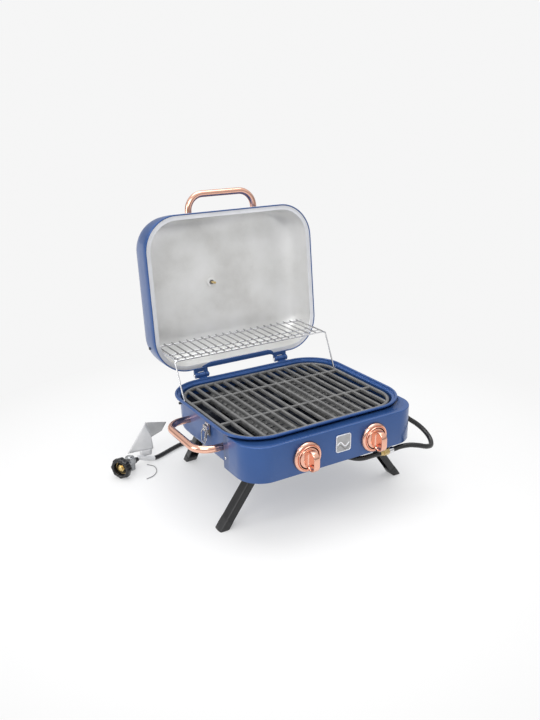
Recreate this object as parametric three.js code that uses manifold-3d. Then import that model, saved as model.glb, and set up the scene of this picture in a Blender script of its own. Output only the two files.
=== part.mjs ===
// Folding camp grill: a two-burner table-top gas grill with a hinged lid, a
// warming rack that rises with the lid, four folding legs and a gas hose.
// Millimetres, +Z up. The origin is the centre of the bowl's flat underside,
// +X is the grill's right-hand side and the control panel faces -Y.
// The grill stands open on its unfolded legs.

import * as THREE from 'three';
import { mergeVertices, mergeGeometries } from 'three/addons/utils/BufferGeometryUtils.js';
import Module from 'manifold-3d';

const wasm = await Module();
wasm.setup();

// ---------------------------------------------------------------- dimensions
const GAP = 0.3;                 // clearance between neighbouring pieces
const CORNER_STEPS = 4;          // half the number of facets in each rounded corner

const RIM = { width: 450, depth: 370, radius: 90, top: 88, thick: 6 };
const BOWL_WALL = 2;
const BOWL_TOP = { width: 428, depth: 348, radius: 79, z: 82 };
const BOWL_FOOT = { width: 422, depth: 342, radius: 76, z: 15 };

const PANEL_Y = -211;            // front face of the control housing
const HOUSING = { width: 434, back: -102, radius: 57, top: 79, thick: 2 };
const BURNER_X = { left: -83, right: 90 };
const KNOB_Z = 37;
const BADGE = { x: 9, z: 44, width: 39, height: 40 };
const HANDLE = { radius: 8, bend: 36 };   // both carrying handles

const HINGE = { y: 201, z: 90, x: 113, radius: 7, pin: 2.5 };
const LID_OPEN = THREE.MathUtils.degToRad(96.3);
const LID = { width: 452, depth: 372, radius: 84, bottom: 88.6, height: 90 };
const LID_SKIN = 1.5;
const LIP = 11;                  // width of the lining's inward lip

const RACK_PIVOT = { y: 124.3, z: 137.9 };   // on the lid, as placed when closed
const RACK_DEPTH = 116;          // rear pivot wire to the front pivot wire
const RACK_HALF_WIDTH = 205;
const RACK_LEG_X = 208.9;
const RACK_LEG_PIVOT = { y: 98, z: 76 };
const RACK_WIRES = 21;

const GRATE = { width: 412, depth: 334, radius: 71, top: 80, thick: 8 };
const GRATE_BARS = 15;
const GRATE_BAR = 6.5;            // width of a bar
const GRATE_TIES = [-58, 78];

const LEG = { pivotX: 154, frontY: -117, rearX: 151, rearY: 130, pivotZ: -20 };
const LEG_SPLAY = THREE.MathUtils.degToRad(35.8);
const FLOOR_Z = -133;
const LEG_WIDTH = 27;
const LEG_THICK = 17;

const HOSE_RADIUS = 5;

// ----------------------------------------------------------------- materials
const paint = new THREE.MeshStandardMaterial({ color: 0x46609e, roughness: 0.35, metalness: 0.3 });
const copper = new THREE.MeshStandardMaterial({ color: 0xd99a80, roughness: 0.18, metalness: 1 });
const chrome = new THREE.MeshStandardMaterial({ color: 0xc9c9cc, roughness: 0.15, metalness: 1 });
const aluminium = new THREE.MeshStandardMaterial({ color: 0xb4b4b2, roughness: 0.5, metalness: 0.9 });
const iron = new THREE.MeshStandardMaterial({ color: 0x45464a, roughness: 0.75, metalness: 0.3 });
const steel = new THREE.MeshStandardMaterial({ color: 0x8b8d90, roughness: 0.45, metalness: 0.9 });
const brass = new THREE.MeshStandardMaterial({ color: 0xc9a75c, roughness: 0.3, metalness: 1 });
const blackPaint = new THREE.MeshStandardMaterial({ color: 0x242528, roughness: 0.4, metalness: 0.3 });
const plastic = new THREE.MeshStandardMaterial({ color: 0x1b1b1d, roughness: 0.55, metalness: 0 });
const rubber = new THREE.MeshStandardMaterial({ color: 0x161617, roughness: 0.7, metalness: 0 });
const zinc = new THREE.MeshStandardMaterial({ color: 0x9fa1a4, roughness: 0.4, metalness: 0.8 });
const paper = new THREE.MeshStandardMaterial({ color: 0xe6e6e4, roughness: 0.9, metalness: 0 });

// ------------------------------------------------------------ solid modelling
/** Merges a closed geometry's shared corners and hands it to the boolean kernel. */
function solid(geometry) {
  const bare = geometry.clone();
  bare.deleteAttribute('normal');
  bare.deleteAttribute('uv');
  const merged = mergeVertices(bare, 1e-4);
  return new wasm.Manifold(new wasm.Mesh({
    numProp: 3,
    vertProperties: new Float32Array(merged.attributes.position.array),
    triVerts: new Uint32Array(merged.index.array),
  }));
}

/** Turns a boolean result back into a geometry. */
function surface(body) {
  const mesh = body.getMesh();
  const geometry = new THREE.BufferGeometry();
  geometry.setAttribute('position', new THREE.BufferAttribute(mesh.vertProperties, 3));
  geometry.setIndex(new THREE.BufferAttribute(mesh.triVerts, 1));
  geometry.computeVertexNormals();
  return geometry;
}

/** Joins several geometries into one solid geometry. */
function join(first, ...rest) {
  return surface(rest.reduce((body, geometry) => body.add(solid(geometry)), solid(first)));
}

/** Cuts every tool out of a geometry. */
function cut(stock, ...tools) {
  return surface(tools.reduce((body, tool) => body.subtract(solid(tool)), solid(stock)));
}

function box(x0, x1, y0, y1, z0, z1) {
  const geometry = new THREE.BoxGeometry(x1 - x0, y1 - y0, z1 - z0);
  return geometry.translate((x0 + x1) / 2, (y0 + y1) / 2, (z0 + z1) / 2);
}

/** A cylinder between two points on a line parallel to the X, Y or Z axis. */
function rod(axis, radius, from, to, a, b, sides = 12) {
  const geometry = new THREE.CylinderGeometry(radius, radius, to - from, sides);
  const middle = (from + to) / 2;
  if (axis === 'x') return geometry.rotateZ(-Math.PI / 2).translate(middle, a, b);
  if (axis === 'y') return geometry.translate(a, middle, b);
  return geometry.rotateX(Math.PI / 2).translate(a, b, middle);
}

function roundedRect(width, depth, radius, centreY = 0) {
  const x = width / 2 - radius;
  const y = depth / 2 - radius;
  const shape = new THREE.Shape();
  shape.absarc(x, centreY + y, radius, 0, Math.PI / 2);
  shape.absarc(-x, centreY + y, radius, Math.PI / 2, Math.PI);
  shape.absarc(-x, centreY - y, radius, Math.PI, Math.PI * 1.5);
  shape.absarc(x, centreY - y, radius, Math.PI * 1.5, Math.PI * 2);
  return shape;
}

function slab(shape, z0, z1, curveSegments = CORNER_STEPS) {
  const options = { depth: z1 - z0, bevelEnabled: false, curveSegments };
  return new THREE.ExtrudeGeometry(shape, options).translate(0, 0, z0);
}

/** A closed skin through a stack of rounded rectangles, one per level. */
function stack(levels) {
  const rings = levels.map(({ width, depth, radius, z }) => {
    const outline = roundedRect(width, depth, radius).getPoints(CORNER_STEPS);
    return outline.slice(0, -1).map((point) => [point.x, point.y, z]);
  });
  const count = rings[0].length;
  const last = (rings.length - 1) * count;
  const positions = rings.flat(2);
  const bottomCentre = positions.length / 3;
  positions.push(0, 0, levels[0].z);
  const topCentre = bottomCentre + 1;
  positions.push(0, 0, levels[levels.length - 1].z);
  const index = [];
  for (let level = 0; level < rings.length - 1; level += 1) {
    for (let i = 0; i < count; i += 1) {
      const a = level * count + i;
      const b = level * count + (i + 1) % count;
      index.push(a, b, b + count, a, b + count, a + count);
    }
  }
  for (let i = 0; i < count; i += 1) {
    const next = (i + 1) % count;
    index.push(bottomCentre, next, i);
    index.push(topCentre, last + i, last + next);
  }
  const geometry = new THREE.BufferGeometry();
  geometry.setAttribute('position', new THREE.Float32BufferAttribute(positions, 3));
  geometry.setIndex(index);
  return geometry;
}

/** A path of straight runs with rounded corners through the given points. */
function bentPath(points, radius) {
  const path = new THREE.CurvePath();
  const corners = points.map((point) => new THREE.Vector3(...point));
  let start = corners[0];
  for (let i = 1; i < corners.length - 1; i += 1) {
    const towards = corners[i].clone().sub(corners[i - 1]).normalize();
    const away = corners[i + 1].clone().sub(corners[i]).normalize();
    const before = corners[i].clone().addScaledVector(towards, -radius);
    const after = corners[i].clone().addScaledVector(away, radius);
    path.add(new THREE.LineCurve3(start, before));
    path.add(new THREE.QuadraticBezierCurve3(before, corners[i], after));
    start = after;
  }
  path.add(new THREE.LineCurve3(start, corners[corners.length - 1]));
  return path;
}

/** A round bar or hose swept along a path, with closed ends. */
function sweep(path, radius, steps, sides = 8) {
  const section = new THREE.Shape();
  section.absarc(0, 0, radius, 0, Math.PI * 2);
  const options = { steps, curveSegments: sides / 2, bevelEnabled: false, extrudePath: path };
  return new THREE.ExtrudeGeometry(section, options);
}

function curve(points) {
  return new THREE.CatmullRomCurve3(points.map((point) => new THREE.Vector3(...point)));
}

/** A turned piece about +Y through (x, z), from [radius, y] pairs. */
function turnedY(profile, x, z, sides = 24) {
  const points = profile.map(([radius, y]) => new THREE.Vector2(radius, y));
  return new THREE.LatheGeometry(points, sides).translate(x, 0, z);
}

/** A turned piece about +Z through (x, y), from [radius, z] pairs. */
function turnedZ(profile, x, y, sides = 24) {
  const points = profile.map(([radius, z]) => new THREE.Vector2(radius, z));
  return new THREE.LatheGeometry(points, sides).rotateX(Math.PI / 2).translate(x, y, 0);
}

// --------------------------------------------------------------- scene groups
const grill = new THREE.Group();

// Everything on the lid is drawn as if the lid were shut, in millimetres from
// the hinge axis, and this group swings it open.
const lidGroup = new THREE.Group();
lidGroup.position.set(0, HINGE.y, HINGE.z);
lidGroup.rotation.x = -LID_OPEN;
grill.add(lidGroup);

function addPiece(name, geometry, material, parent = grill) {
  const piece = new THREE.Mesh(geometry, material);
  piece.name = name;
  parent.add(piece);
  return piece;
}

function sided(side) {
  return side < 0 ? 'left' : 'right';
}

// ---------------------------------------------------------------------- bowl
function bowlOutside(grow = 0) {
  const wider = (level, inset = 0) => ({
    width: level.width + 2 * (grow - inset),
    depth: level.depth + 2 * (grow - inset),
    radius: level.radius + grow - inset,
  });
  return stack([
    { ...wider(BOWL_FOOT, 15), z: -grow },
    { ...wider(BOWL_FOOT, 4.4), z: 4.4 - grow },
    { ...wider(BOWL_FOOT), z: BOWL_FOOT.z },
    { ...wider(BOWL_TOP), z: BOWL_TOP.z },
  ]);
}

function buildBowl() {
  const rim = stack([
    { width: RIM.width - 3, depth: RIM.depth - 3, radius: RIM.radius - 1.5, z: RIM.top - RIM.thick },
    { width: RIM.width, depth: RIM.depth, radius: RIM.radius, z: RIM.top - RIM.thick + 1.5 },
    { width: RIM.width, depth: RIM.depth, radius: RIM.radius, z: RIM.top - 2 },
    { width: RIM.width - 4, depth: RIM.depth - 4, radius: RIM.radius - 2, z: RIM.top },
  ]);
  const inset = (level, amount) => ({
    width: level.width - 2 * amount,
    depth: level.depth - 2 * amount,
    radius: level.radius - amount,
  });
  const hollow = stack([
    { ...inset(BOWL_FOOT, 18), z: BOWL_WALL },
    { ...inset(BOWL_FOOT, 7.4), z: 7.4 },
    { ...inset(BOWL_FOOT, BOWL_WALL), z: 18 },
    { ...inset(BOWL_TOP, BOWL_WALL), z: RIM.top + 1 },
  ]);
  const ledgeTop = GRATE.top - GRATE.thick - GAP;
  const ledges = [1, -1].map((side) => {
    const wall = side * (BOWL_TOP.depth / 2 - 2);
    return box(-45, 45, Math.min(wall, side * 155), Math.max(wall, side * 155), ledgeTop - 5, ledgeTop);
  });
  const openings = [
    rod('z', 9, -1, 5, 0, 60, 16),                                    // grease drain
    rod('x', 2.6, -230, 230, RACK_LEG_PIVOT.y, RACK_LEG_PIVOT.z, 10), // rack legs
  ];
  for (const side of [-1, 1]) {
    openings.push(rod('y', 11, -180, -150, BURNER_X[sided(side)], KNOB_Z, 16));
    openings.push(box(side * 60 - 22, side * 60 + 22, 155, 180, 34, 42));
  }
  // a shallow pressed bead marks off the flat middle of the floor
  openings.push(cut(slab(roundedRect(190, 190, 24), -1, 0.5, 6),
    slab(roundedRect(182, 182, 20), -2, 1, 6)));
  const shell = solid(bowlOutside()).add(solid(rim)).subtract(solid(hollow));
  const body = ledges.reduce((sum, ledge) => sum.add(solid(ledge)), shell);
  const open = openings.reduce((sum, tool) => sum.subtract(solid(tool)), body);
  addPiece('firebox_bowl', surface(open), paint);
}

// ----------------------------------------------------------- control housing
const INLET = { y: -138, z: 30 };

function buildHousing() {
  const depth = 300;
  const centreY = PANEL_Y + depth / 2;
  const { width, radius, top, thick } = HOUSING;
  const outside = slab(roundedRect(width, depth, radius, centreY), 0, top);
  const inside = slab(roundedRect(width - 2 * thick, depth - 2 * thick, radius - thick, centreY),
    -1, top - thick);
  const behind = box(-250, 250, HOUSING.back, 200, -1, top + 1);
  const cavity = solid(inside).subtract(solid(box(-250, 250, HOUSING.back - 4, 200, -2, top)));
  const openings = [-1, 1].map((side) => (
    solid(rod('y', 6, PANEL_Y - 5, PANEL_Y + 5, BURNER_X[sided(side)], KNOB_Z, 16))));
  openings.push(solid(rod('x', 8, width / 2 - 8, width / 2 + 5, INLET.y, INLET.z, 16)));
  let body = solid(outside).subtract(solid(behind)).subtract(cavity);
  body = body.subtract(solid(bowlOutside(GAP)));
  body = openings.reduce((sum, tool) => sum.subtract(tool), body);
  addPiece('control_housing', surface(body), paint);
  for (const side of [-1, 1]) {
    const head = rod('x', 3.5, 0, 2.5, -112, 27, 12);
    const x = side < 0 ? -width / 2 - GAP - 2.5 : width / 2 + GAP;
    addPiece(`housing_screw_${sided(side)}`, head.translate(x, 0, 0), chrome);
  }
  const plate = slab(roundedRect(BADGE.width, BADGE.height, 6), 0, 2.2, 4);
  plate.rotateX(Math.PI / 2).translate(BADGE.x, PANEL_Y - GAP, BADGE.z);
  addPiece('badge_plate', plate, steel);
}

function buildCarryHandle() {
  const wallX = -BOWL_TOP.width / 2 + 1.6;
  const height = 45;
  const path = bentPath([[wallX, -93, height], [-270, -93, height],
    [-270, 70, height], [wallX, 70, height]], HANDLE.bend);
  const tube = solid(sweep(path, HANDLE.radius, 28, 10));
  addPiece('carry_handle', surface(tube.subtract(solid(bowlOutside(GAP)))), copper);
}

// -------------------------------------------------------- burners and valves
function buildBurner(side) {
  const x = BURNER_X[sided(side)];
  const tube = rod('y', 9, -172, 140, x, KNOB_Z, 14);
  const bore = rod('y', 7.5, -173, 138, x, KNOB_Z, 14);
  const foot = box(x - 12, x + 12, 132, 138, BOWL_WALL + GAP, KNOB_Z - 5);
  const ports = [];
  for (let y = -100; y <= 100; y += 40) {
    ports.push(box(x - 12, x + 12, y - 1.5, y + 1.5, KNOB_Z - 1.5, KNOB_Z + 1.5));
  }
  addPiece(`burner_${sided(side)}`, cut(join(tube, foot), bore, ...ports), steel);
}

function buildHeatTent(side) {
  const x = BURNER_X[sided(side)];
  const profile = new THREE.Shape();
  const half = 52;
  const skin = 1.5;
  profile.moveTo(-half, 0);
  profile.lineTo(-half + 16, 14);
  profile.lineTo(half - 16, 14);
  profile.lineTo(half, 0);
  profile.lineTo(half - 2, -skin);
  profile.lineTo(half - 17, 14 - skin);
  profile.lineTo(-half + 17, 14 - skin);
  profile.lineTo(-half + 2, -skin);
  profile.closePath();
  const channel = slab(profile, -140, 140).rotateX(Math.PI / 2);
  channel.translate(x, 0, 50);
  const slots = [];
  for (let y = -112; y <= 112; y += 32) {
    slots.push(box(x - 20, x + 20, y - 2.5, y + 2.5, 58, 70));
  }
  const posts = [-1, 1].flatMap((end) => [-1, 1].map((edge) => {
    const postX = x + edge * (half - 6);
    return box(postX - 2, postX + 2, end * 130 - 4, end * 130 + 4, BOWL_WALL + GAP, 51.5);
  }));
  addPiece(`heat_tent_${sided(side)}`, cut(join(channel, ...posts), ...slots), iron);
}

const VALVE = { front: -204, back: -182, half: 10 };

function buildManifold() {
  const y = -192;
  const z = KNOB_Z - 16;
  const pieces = [
    sweep(bentPath([[BURNER_X.left, y, z], [150, y, z], [203, INLET.y - 10, INLET.z],
      [HOUSING.width / 2 - 3, INLET.y, INLET.z]], 9), 5, 18, 8),
    rod('x', 6.8, HOUSING.width / 2 - 7, HOUSING.width / 2 + 12, INLET.y, INLET.z, 6),
  ];
  for (const x of Object.values(BURNER_X)) {
    pieces.push(box(x - VALVE.half, x + VALVE.half, VALVE.front, VALVE.back, z - 2, KNOB_Z + 10));
    pieces.push(rod('y', 4, VALVE.back - 1, -168, x, KNOB_Z, 10));
  }
  const sockets = Object.values(BURNER_X).map((x) => (
    rod('y', 3.4, VALVE.front - 1, VALVE.front + 10, x, KNOB_Z, 12)));
  addPiece('gas_manifold', cut(join(...pieces), ...sockets), brass);
}

/** A round knob: a disc with an upright grip across it that is hollowed on both flanks. */
function knobShape(x) {
  const back = PANEL_Y - 5;
  const disc = turnedY([
    [0, back - 7], [20.5, back - 7], [22.5, back - 5], [22.5, back], [0, back],
  ], x, KNOB_Z);
  const upright = (width, depth, radius, centreY, x0, x1) => (
    slab(roundedRect(width, depth, radius, centreY), x0, x1)
      .rotateY(Math.PI / 2).translate(x, 0, KNOB_Z - 2));
  const grip = upright(45, 34, 16, back - 17, -7, 7);
  const hollows = [-7.5, 5.8].map((x0) => upright(36, 21, 10, back - 20.5, x0, x0 + 1.7));
  const bore = rod('y', 3.4, PANEL_Y - 26, PANEL_Y, x, KNOB_Z, 12);
  return cut(join(disc, grip), bore, ...hollows);
}

function buildKnob(side) {
  const name = sided(side);
  const x = BURNER_X[name];
  const stem = rod('y', 3, PANEL_Y - 20, VALVE.front + 8, x, KNOB_Z, 12);
  const flat = box(x - 4, x + 4, PANEL_Y - 21, PANEL_Y - 6, KNOB_Z + 2, KNOB_Z + 4);
  addPiece(`valve_stem_${name}`, cut(stem, flat), brass);

  const face = PANEL_Y - GAP;
  addPiece(`knob_bezel_${name}`, turnedY([
    [24, face], [24, face - 9], [26, face - 11], [30, face - 10],
    [33, face - 6], [33, face], [24, face],
  ], x, KNOB_Z), copper);
  addPiece(`knob_${name}`, knobShape(x), copper);
}

// ----------------------------------------------------------------- the grate
/** Half the depth of the grate's open field at a distance x from the middle. */
function grateReach(x) {
  const radius = GRATE.radius - 7;
  const straight = GRATE.width / 2 - GRATE.radius;
  const past = Math.max(0, Math.abs(x) - straight);
  return GRATE.depth / 2 - GRATE.radius + Math.sqrt(radius * radius - past * past);
}

function buildGrate() {
  const { width, depth, radius, top, thick } = GRATE;
  let body = solid(slab(roundedRect(width, depth, radius), top - thick, top));
  const pitch = (width - 14) / (GRATE_BARS + 1);
  const half = GRATE_BAR / 2;
  for (let i = 0; i <= GRATE_BARS; i += 1) {
    const left = -width / 2 + 7 + i * pitch + (i > 0 ? half : 0);
    const right = -width / 2 + 7 + (i + 1) * pitch - (i < GRATE_BARS ? half : 0);
    const rows = [
      [-1, GRATE_TIES[0] - half], [GRATE_TIES[0] + half, GRATE_TIES[1] - half],
      [GRATE_TIES[1] + half, 1],
    ];
    for (const [low, high] of rows) {
      const hole = new THREE.Shape();
      hole.moveTo(left, low === -1 ? -grateReach(left) : low);
      hole.lineTo(left, high === 1 ? grateReach(left) : high);
      hole.lineTo(right, high === 1 ? grateReach(right) : high);
      hole.lineTo(right, low === -1 ? -grateReach(right) : low);
      hole.closePath();
      body = body.subtract(solid(slab(hole, top - thick - 1, top + 1)));
    }
  }
  addPiece('cooking_grate', surface(body), iron);
}

// ------------------------------------------------------ grease tray and rails
function buildTray() {
  const half = 62;
  const rails = [-1, 1].map((side) => join(
    box(side * (half + 5) - 1, side * (half + 5) + 1, 10, 158, -17, -2.6),
    box(side * (half + 1) - 4, side * (half + 1) + 4, 10, 158, -17, -15.5),
  ));
  const bridge = box(-half - 5, half + 5, 10, 14, -4.6, -2.6);
  addPiece('tray_carrier', join(rails[0], rails[1], bridge), steel);
  const tray = box(-half + 1, half - 1, 16, 166, -14.5, -5);
  const basin = box(-half + 3, half - 3, 18, 162, -13, -4);
  const flange = box(-half - 3, half + 3, 16, 166, -15.2, -13.5);
  const pull = box(-30, 30, 165, 176, -12, -10);
  addPiece('grease_tray', cut(join(tray, flange, pull), basin), steel);
}

// --------------------------------------------------------------------- hinges
function buildHinge(side) {
  const x = side * HINGE.x;
  const { radius, pin } = HINGE;
  const knuckle = 8.5;
  const rimBack = RIM.depth / 2 + GAP;
  const bracket = join(
    rod('x', radius, x - knuckle, x + knuckle, HINGE.y, HINGE.z, 14),
    box(x - knuckle, x + knuckle, rimBack, HINGE.y, RIM.top - 8, RIM.top - 0.5),
    box(x - 18, x + 18, rimBack, rimBack + 3, RIM.top - 16, RIM.top - 1),
  );
  const bore = rod('x', pin + 0.3, x - 30, x + 30, HINGE.y, HINGE.z, 12);
  addPiece(`hinge_bracket_${sided(side)}`, cut(bracket, bore), paint);

  const wall = LID.depth / 2 - HINGE.y + GAP;
  const ears = [-1, 1].map((end) => {
    const x0 = x + (end < 0 ? -18 : knuckle + 0.5);
    const x1 = x + (end < 0 ? -knuckle - 0.5 : 18);
    return join(rod('x', radius, x0, x1, 0, 0, 14), box(x0, x1, wall, 0, 0, radius));
  });
  const web = box(x - knuckle - 1, x + knuckle + 1, wall, -radius - 0.6, 0, radius);
  const leaf = join(ears[0], ears[1], web, box(x - 18, x + 18, wall, wall + 2, radius + 2, 26),
    box(x - 18, x - knuckle - 0.5, wall, wall + 2, 0, 12),
    box(x + knuckle + 0.5, x + 18, wall, wall + 2, 0, 12));
  const leafBore = rod('x', pin + 0.3, x - 30, x + 30, 0, 0, 12);
  addPiece(`hinge_leaf_${sided(side)}`, cut(leaf, leafBore), paint, lidGroup);

  const shaft = join(
    rod('x', pin, x - 19, x + 21, HINGE.y, HINGE.z, 12),
    rod('x', pin + 2, x - 21.5, x - 18.4, HINGE.y, HINGE.z, 12),
  );
  addPiece(`hinge_pin_${sided(side)}`, shaft, chrome);
}

// ------------------------------------------------------------------------ lid
/** The lid's outside shape, shrunk by an offset, in closed-lid hinge coordinates. */
function lidForm(offset, bottom) {
  const level = (inset, z) => ({
    width: LID.width - 2 * (inset + offset),
    depth: LID.depth - 2 * (inset + offset),
    radius: LID.radius - inset - offset,
    z,
  });
  const top = LID.bottom + LID.height - offset;
  return stack([
    level(0, bottom), level(4, LID.bottom + 55), level(8, top - 15), level(14, top - 6.5),
    level(23, top - 1.7), level(34, top),
  ]).translate(0, -HINGE.y, -HINGE.z);
}

function buildLid() {
  const rearNotch = box(-90, 90, -30, 0, LID.bottom - HINGE.z - 1, LID.bottom - HINGE.z + 13);
  const pivotY = RACK_PIVOT.y - HINGE.y;
  const pivotZ = RACK_PIVOT.z - HINGE.z;
  const pivots = rod('x', 3, -250, 250, pivotY, pivotZ, 10);
  const gauge = rod('z', 5, 60, 100, -24, -208, 12);

  addPiece('lid_shell', cut(lidForm(0, LID.bottom), lidForm(LID_SKIN, LID.bottom - 1),
    rearNotch, pivots, gauge), paint, lidGroup);

  const lining = LID_SKIN + GAP;
  const inner = lidForm(lining + 1.2, LID.bottom + 2);
  const mouth = slab(roundedRect(LID.width - 2 * (lining + LIP), LID.depth - 2 * (lining + LIP),
    LID.radius - lining - LIP), LID.bottom - 1, LID.bottom + 4, CORNER_STEPS);
  mouth.translate(0, -HINGE.y, -HINGE.z);
  addPiece('lid_lining', cut(lidForm(lining, LID.bottom), inner, mouth, rearNotch, pivots, gauge),
    aluminium, lidGroup);

  const front = -LID.depth / 2 - HINGE.y;
  const height = 40;
  const reach = front - 40;
  const path = bentPath([[-91, front, height], [-91, reach, height],
    [87, reach, height], [87, front, height]], HANDLE.bend);
  const bar = solid(sweep(path, HANDLE.radius, 28, 10));
  const clear = solid(lidForm(-GAP, LID.bottom));
  addPiece('lid_handle', surface(bar.subtract(clear)), copper, lidGroup);
}

/** The stiffening bar across the lid's rear edge; it also fills the notch between the hinges. */
function buildLidRearBar() {
  const half = 90 - GAP;
  const back = LID.depth / 2 - HINGE.y - 1;
  const bottom = LID.bottom - HINGE.z;
  addPiece('lid_rear_bar', join(
    box(-half, half, back - 11, back, bottom, bottom + 6),
    box(-half, half, back - 3, back, bottom, bottom + 12 - GAP),
  ), paint, lidGroup);
}

function buildThermometer() {
  const x = -24;
  const y = -208;
  const seat = LID.bottom + LID.height - HINGE.z + GAP;
  addPiece('thermometer_case', turnedZ([
    [0, seat - 26], [3, seat - 26], [3, seat], [27, seat], [30, seat + 3], [30, seat + 11],
    [27, seat + 14], [25, seat + 14], [25, seat + 8], [0, seat + 8],
  ], x, y), copper, lidGroup);
  const needle = join(
    box(x - 1.2, x + 1.2, y - 5, y + 18, seat + 9, seat + 10),
    rod('z', 3, seat + 8.6, seat + 10.6, x, y, 10),
  );
  addPiece('thermometer_needle', needle, plastic, lidGroup);
  const ceiling = seat - GAP - LID_SKIN - GAP - 1.2 - GAP;
  addPiece('thermometer_nut', turnedZ([
    [3.4, ceiling], [3.4, ceiling - 6], [6, ceiling - 6], [6, ceiling - 1.6],
    [11, ceiling - 1.6], [11, ceiling], [3.4, ceiling],
  ], x, y, 12), chrome, lidGroup);
}

// --------------------------------------------------------------- warming rack
function rackPlace() {
  const y = RACK_PIVOT.y - HINGE.y;
  const z = RACK_PIVOT.z - HINGE.z;
  const c = Math.cos(LID_OPEN);
  const s = Math.sin(LID_OPEN);
  return { y: HINGE.y + y * c + z * s, z: HINGE.z - y * s + z * c };
}

function buildRack() {
  const rear = rackPlace();
  const front = rear.y - RACK_DEPTH;
  const wire = 1.6;
  const z = rear.z;
  const pieces = [
    rod('x', 2, -221, 221, rear.y, z, 8),
    rod('x', wire, -RACK_HALF_WIDTH, RACK_HALF_WIDTH, rear.y - 72, z, 6),
    rod('x', wire, -RACK_HALF_WIDTH, RACK_HALF_WIDTH, rear.y - 98, z, 6),
    rod('x', 2, -RACK_HALF_WIDTH - 1, RACK_HALF_WIDTH + 1, front, z, 8),
  ];
  const pitch = (2 * RACK_HALF_WIDTH - 8) / (RACK_WIRES - 1);
  for (let i = 0; i < RACK_WIRES; i += 1) {
    const x = -RACK_HALF_WIDTH + 4 + i * pitch;
    pieces.push(rod('y', wire, front - 1, rear.y + 5, x, z + 2.2, 4));
  }
  addPiece('warming_rack', join(...pieces), chrome);
}

function buildRackLeg(side) {
  const rear = rackPlace();
  const foot = RACK_LEG_PIVOT;
  const x = side * RACK_LEG_X;
  const hookY = rear.y - RACK_DEPTH;
  const path = bentPath([
    [x, hookY, rear.z],
    [x, foot.y, foot.z],
    [side * (BOWL_TOP.width / 2 + 6), foot.y, foot.z],
  ], 3);
  addPiece(`rack_leg_${sided(side)}`, sweep(path, 1.8, 28, 6), chrome);
}

// -------------------------------------------------------------------- latches
const LATCH = { y: -29, pinZ: 66, bailZ: 60, leverEnd: 36, bailEnd: 32 };

function buildLatch(side) {
  const name = sided(side);
  const { y, pinZ, bailZ, leverEnd, bailEnd } = LATCH;
  const wall = BOWL_TOP.width / 2 + GAP;
  const pinX = wall + 6;
  const bailX = pinX + 2.6;
  const flip = (geometry) => (side < 0 ? geometry.rotateZ(Math.PI).translate(0, 2 * y, 0) : geometry);

  const plate = box(wall - 0.2, wall + 1.6, y - 9, y + 9, 46, 76);
  const ears = [-1, 1].map((end) => box(wall + 1, pinX + 3,
    y + end * 7 - 1, y + end * 7 + 1, pinZ - 4, pinZ + 4));
  const pin = rod('y', 1.2, y - 8.6, y + 8.6, pinX, pinZ, 8);
  addPiece(`latch_base_${name}`, flip(join(plate, ears[0], ears[1], pin)), chrome);

  const lever = join(
    box(pinX - 1, pinX + 1, y - 5, y + 5, leverEnd + 2, pinZ - 1),
    box(pinX - 1, pinX + 5, y - 5, y + 5, leverEnd, leverEnd + 2.5),
    rod('y', 3.2, y - 5, y + 5, pinX, pinZ, 10),
    rod('y', 2.8, y - 5, y + 5, bailX, bailZ, 10),
  );
  const pinBore = rod('y', 1.5, y - 7, y + 7, pinX, pinZ, 8);
  const bailBore = rod('y', 1.5, y - 7, y + 7, bailX, bailZ, 8);
  addPiece(`latch_lever_${name}`, flip(cut(lever, pinBore, bailBore)), chrome);

  const half = 9.4;
  const hang = bailX + 3.6;
  const arms = [-1, 1].map((end) => sweep(bentPath([
    [bailX, y + end * half, bailZ + 0.6], [hang, y + end * half, bailZ - 8],
    [hang, y + end * half, bailEnd - 0.6]], 2), 1.2, 8, 6));
  const bail = join(
    rod('y', 1.2, y - half, y + half, bailX, bailZ, 8),
    rod('y', 1.2, y - half, y + half, hang, bailEnd, 8),
    ...arms,
  );
  addPiece(`latch_bail_${name}`, flip(bail), chrome);
}

// ----------------------------------------------------------------------- legs
function buildLegRail(name, y, halfX, pinAxis) {
  const x = halfX;
  const cheek = LEG_WIDTH / 2 + 1.5;
  const thick = 2;
  const plateTop = -GAP;
  const pieces = [];
  for (const side of [-1, 1]) {
    const cx = side * x;
    pieces.push(box(cx - 20, cx + 20, y - 16, y + 16, plateTop - thick, plateTop));
    for (const end of [-1, 1]) {
      const place = end * (cheek + thick / 2);
      if (pinAxis === 'y') {
        pieces.push(box(cx - 7, cx + 7, y + place - 1, y + place + 1, LEG.pivotZ - 7, plateTop));
      } else {
        pieces.push(box(cx + place - 1, cx + place + 1, y - 7, y + 7, LEG.pivotZ - 7, plateTop));
      }
    }
    const reach = cheek + thick + 1.5;
    pieces.push(pinAxis === 'y'
      ? rod('y', 3, y - reach, y + reach, cx, LEG.pivotZ, 12)
      : rod('x', 3, cx - reach, cx + reach, y, LEG.pivotZ, 12));
  }
  pieces.push(box(-x, x, y - 6, y + 6, plateTop - thick, plateTop));
  addPiece(name, join(...pieces), blackPaint);
}

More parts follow.
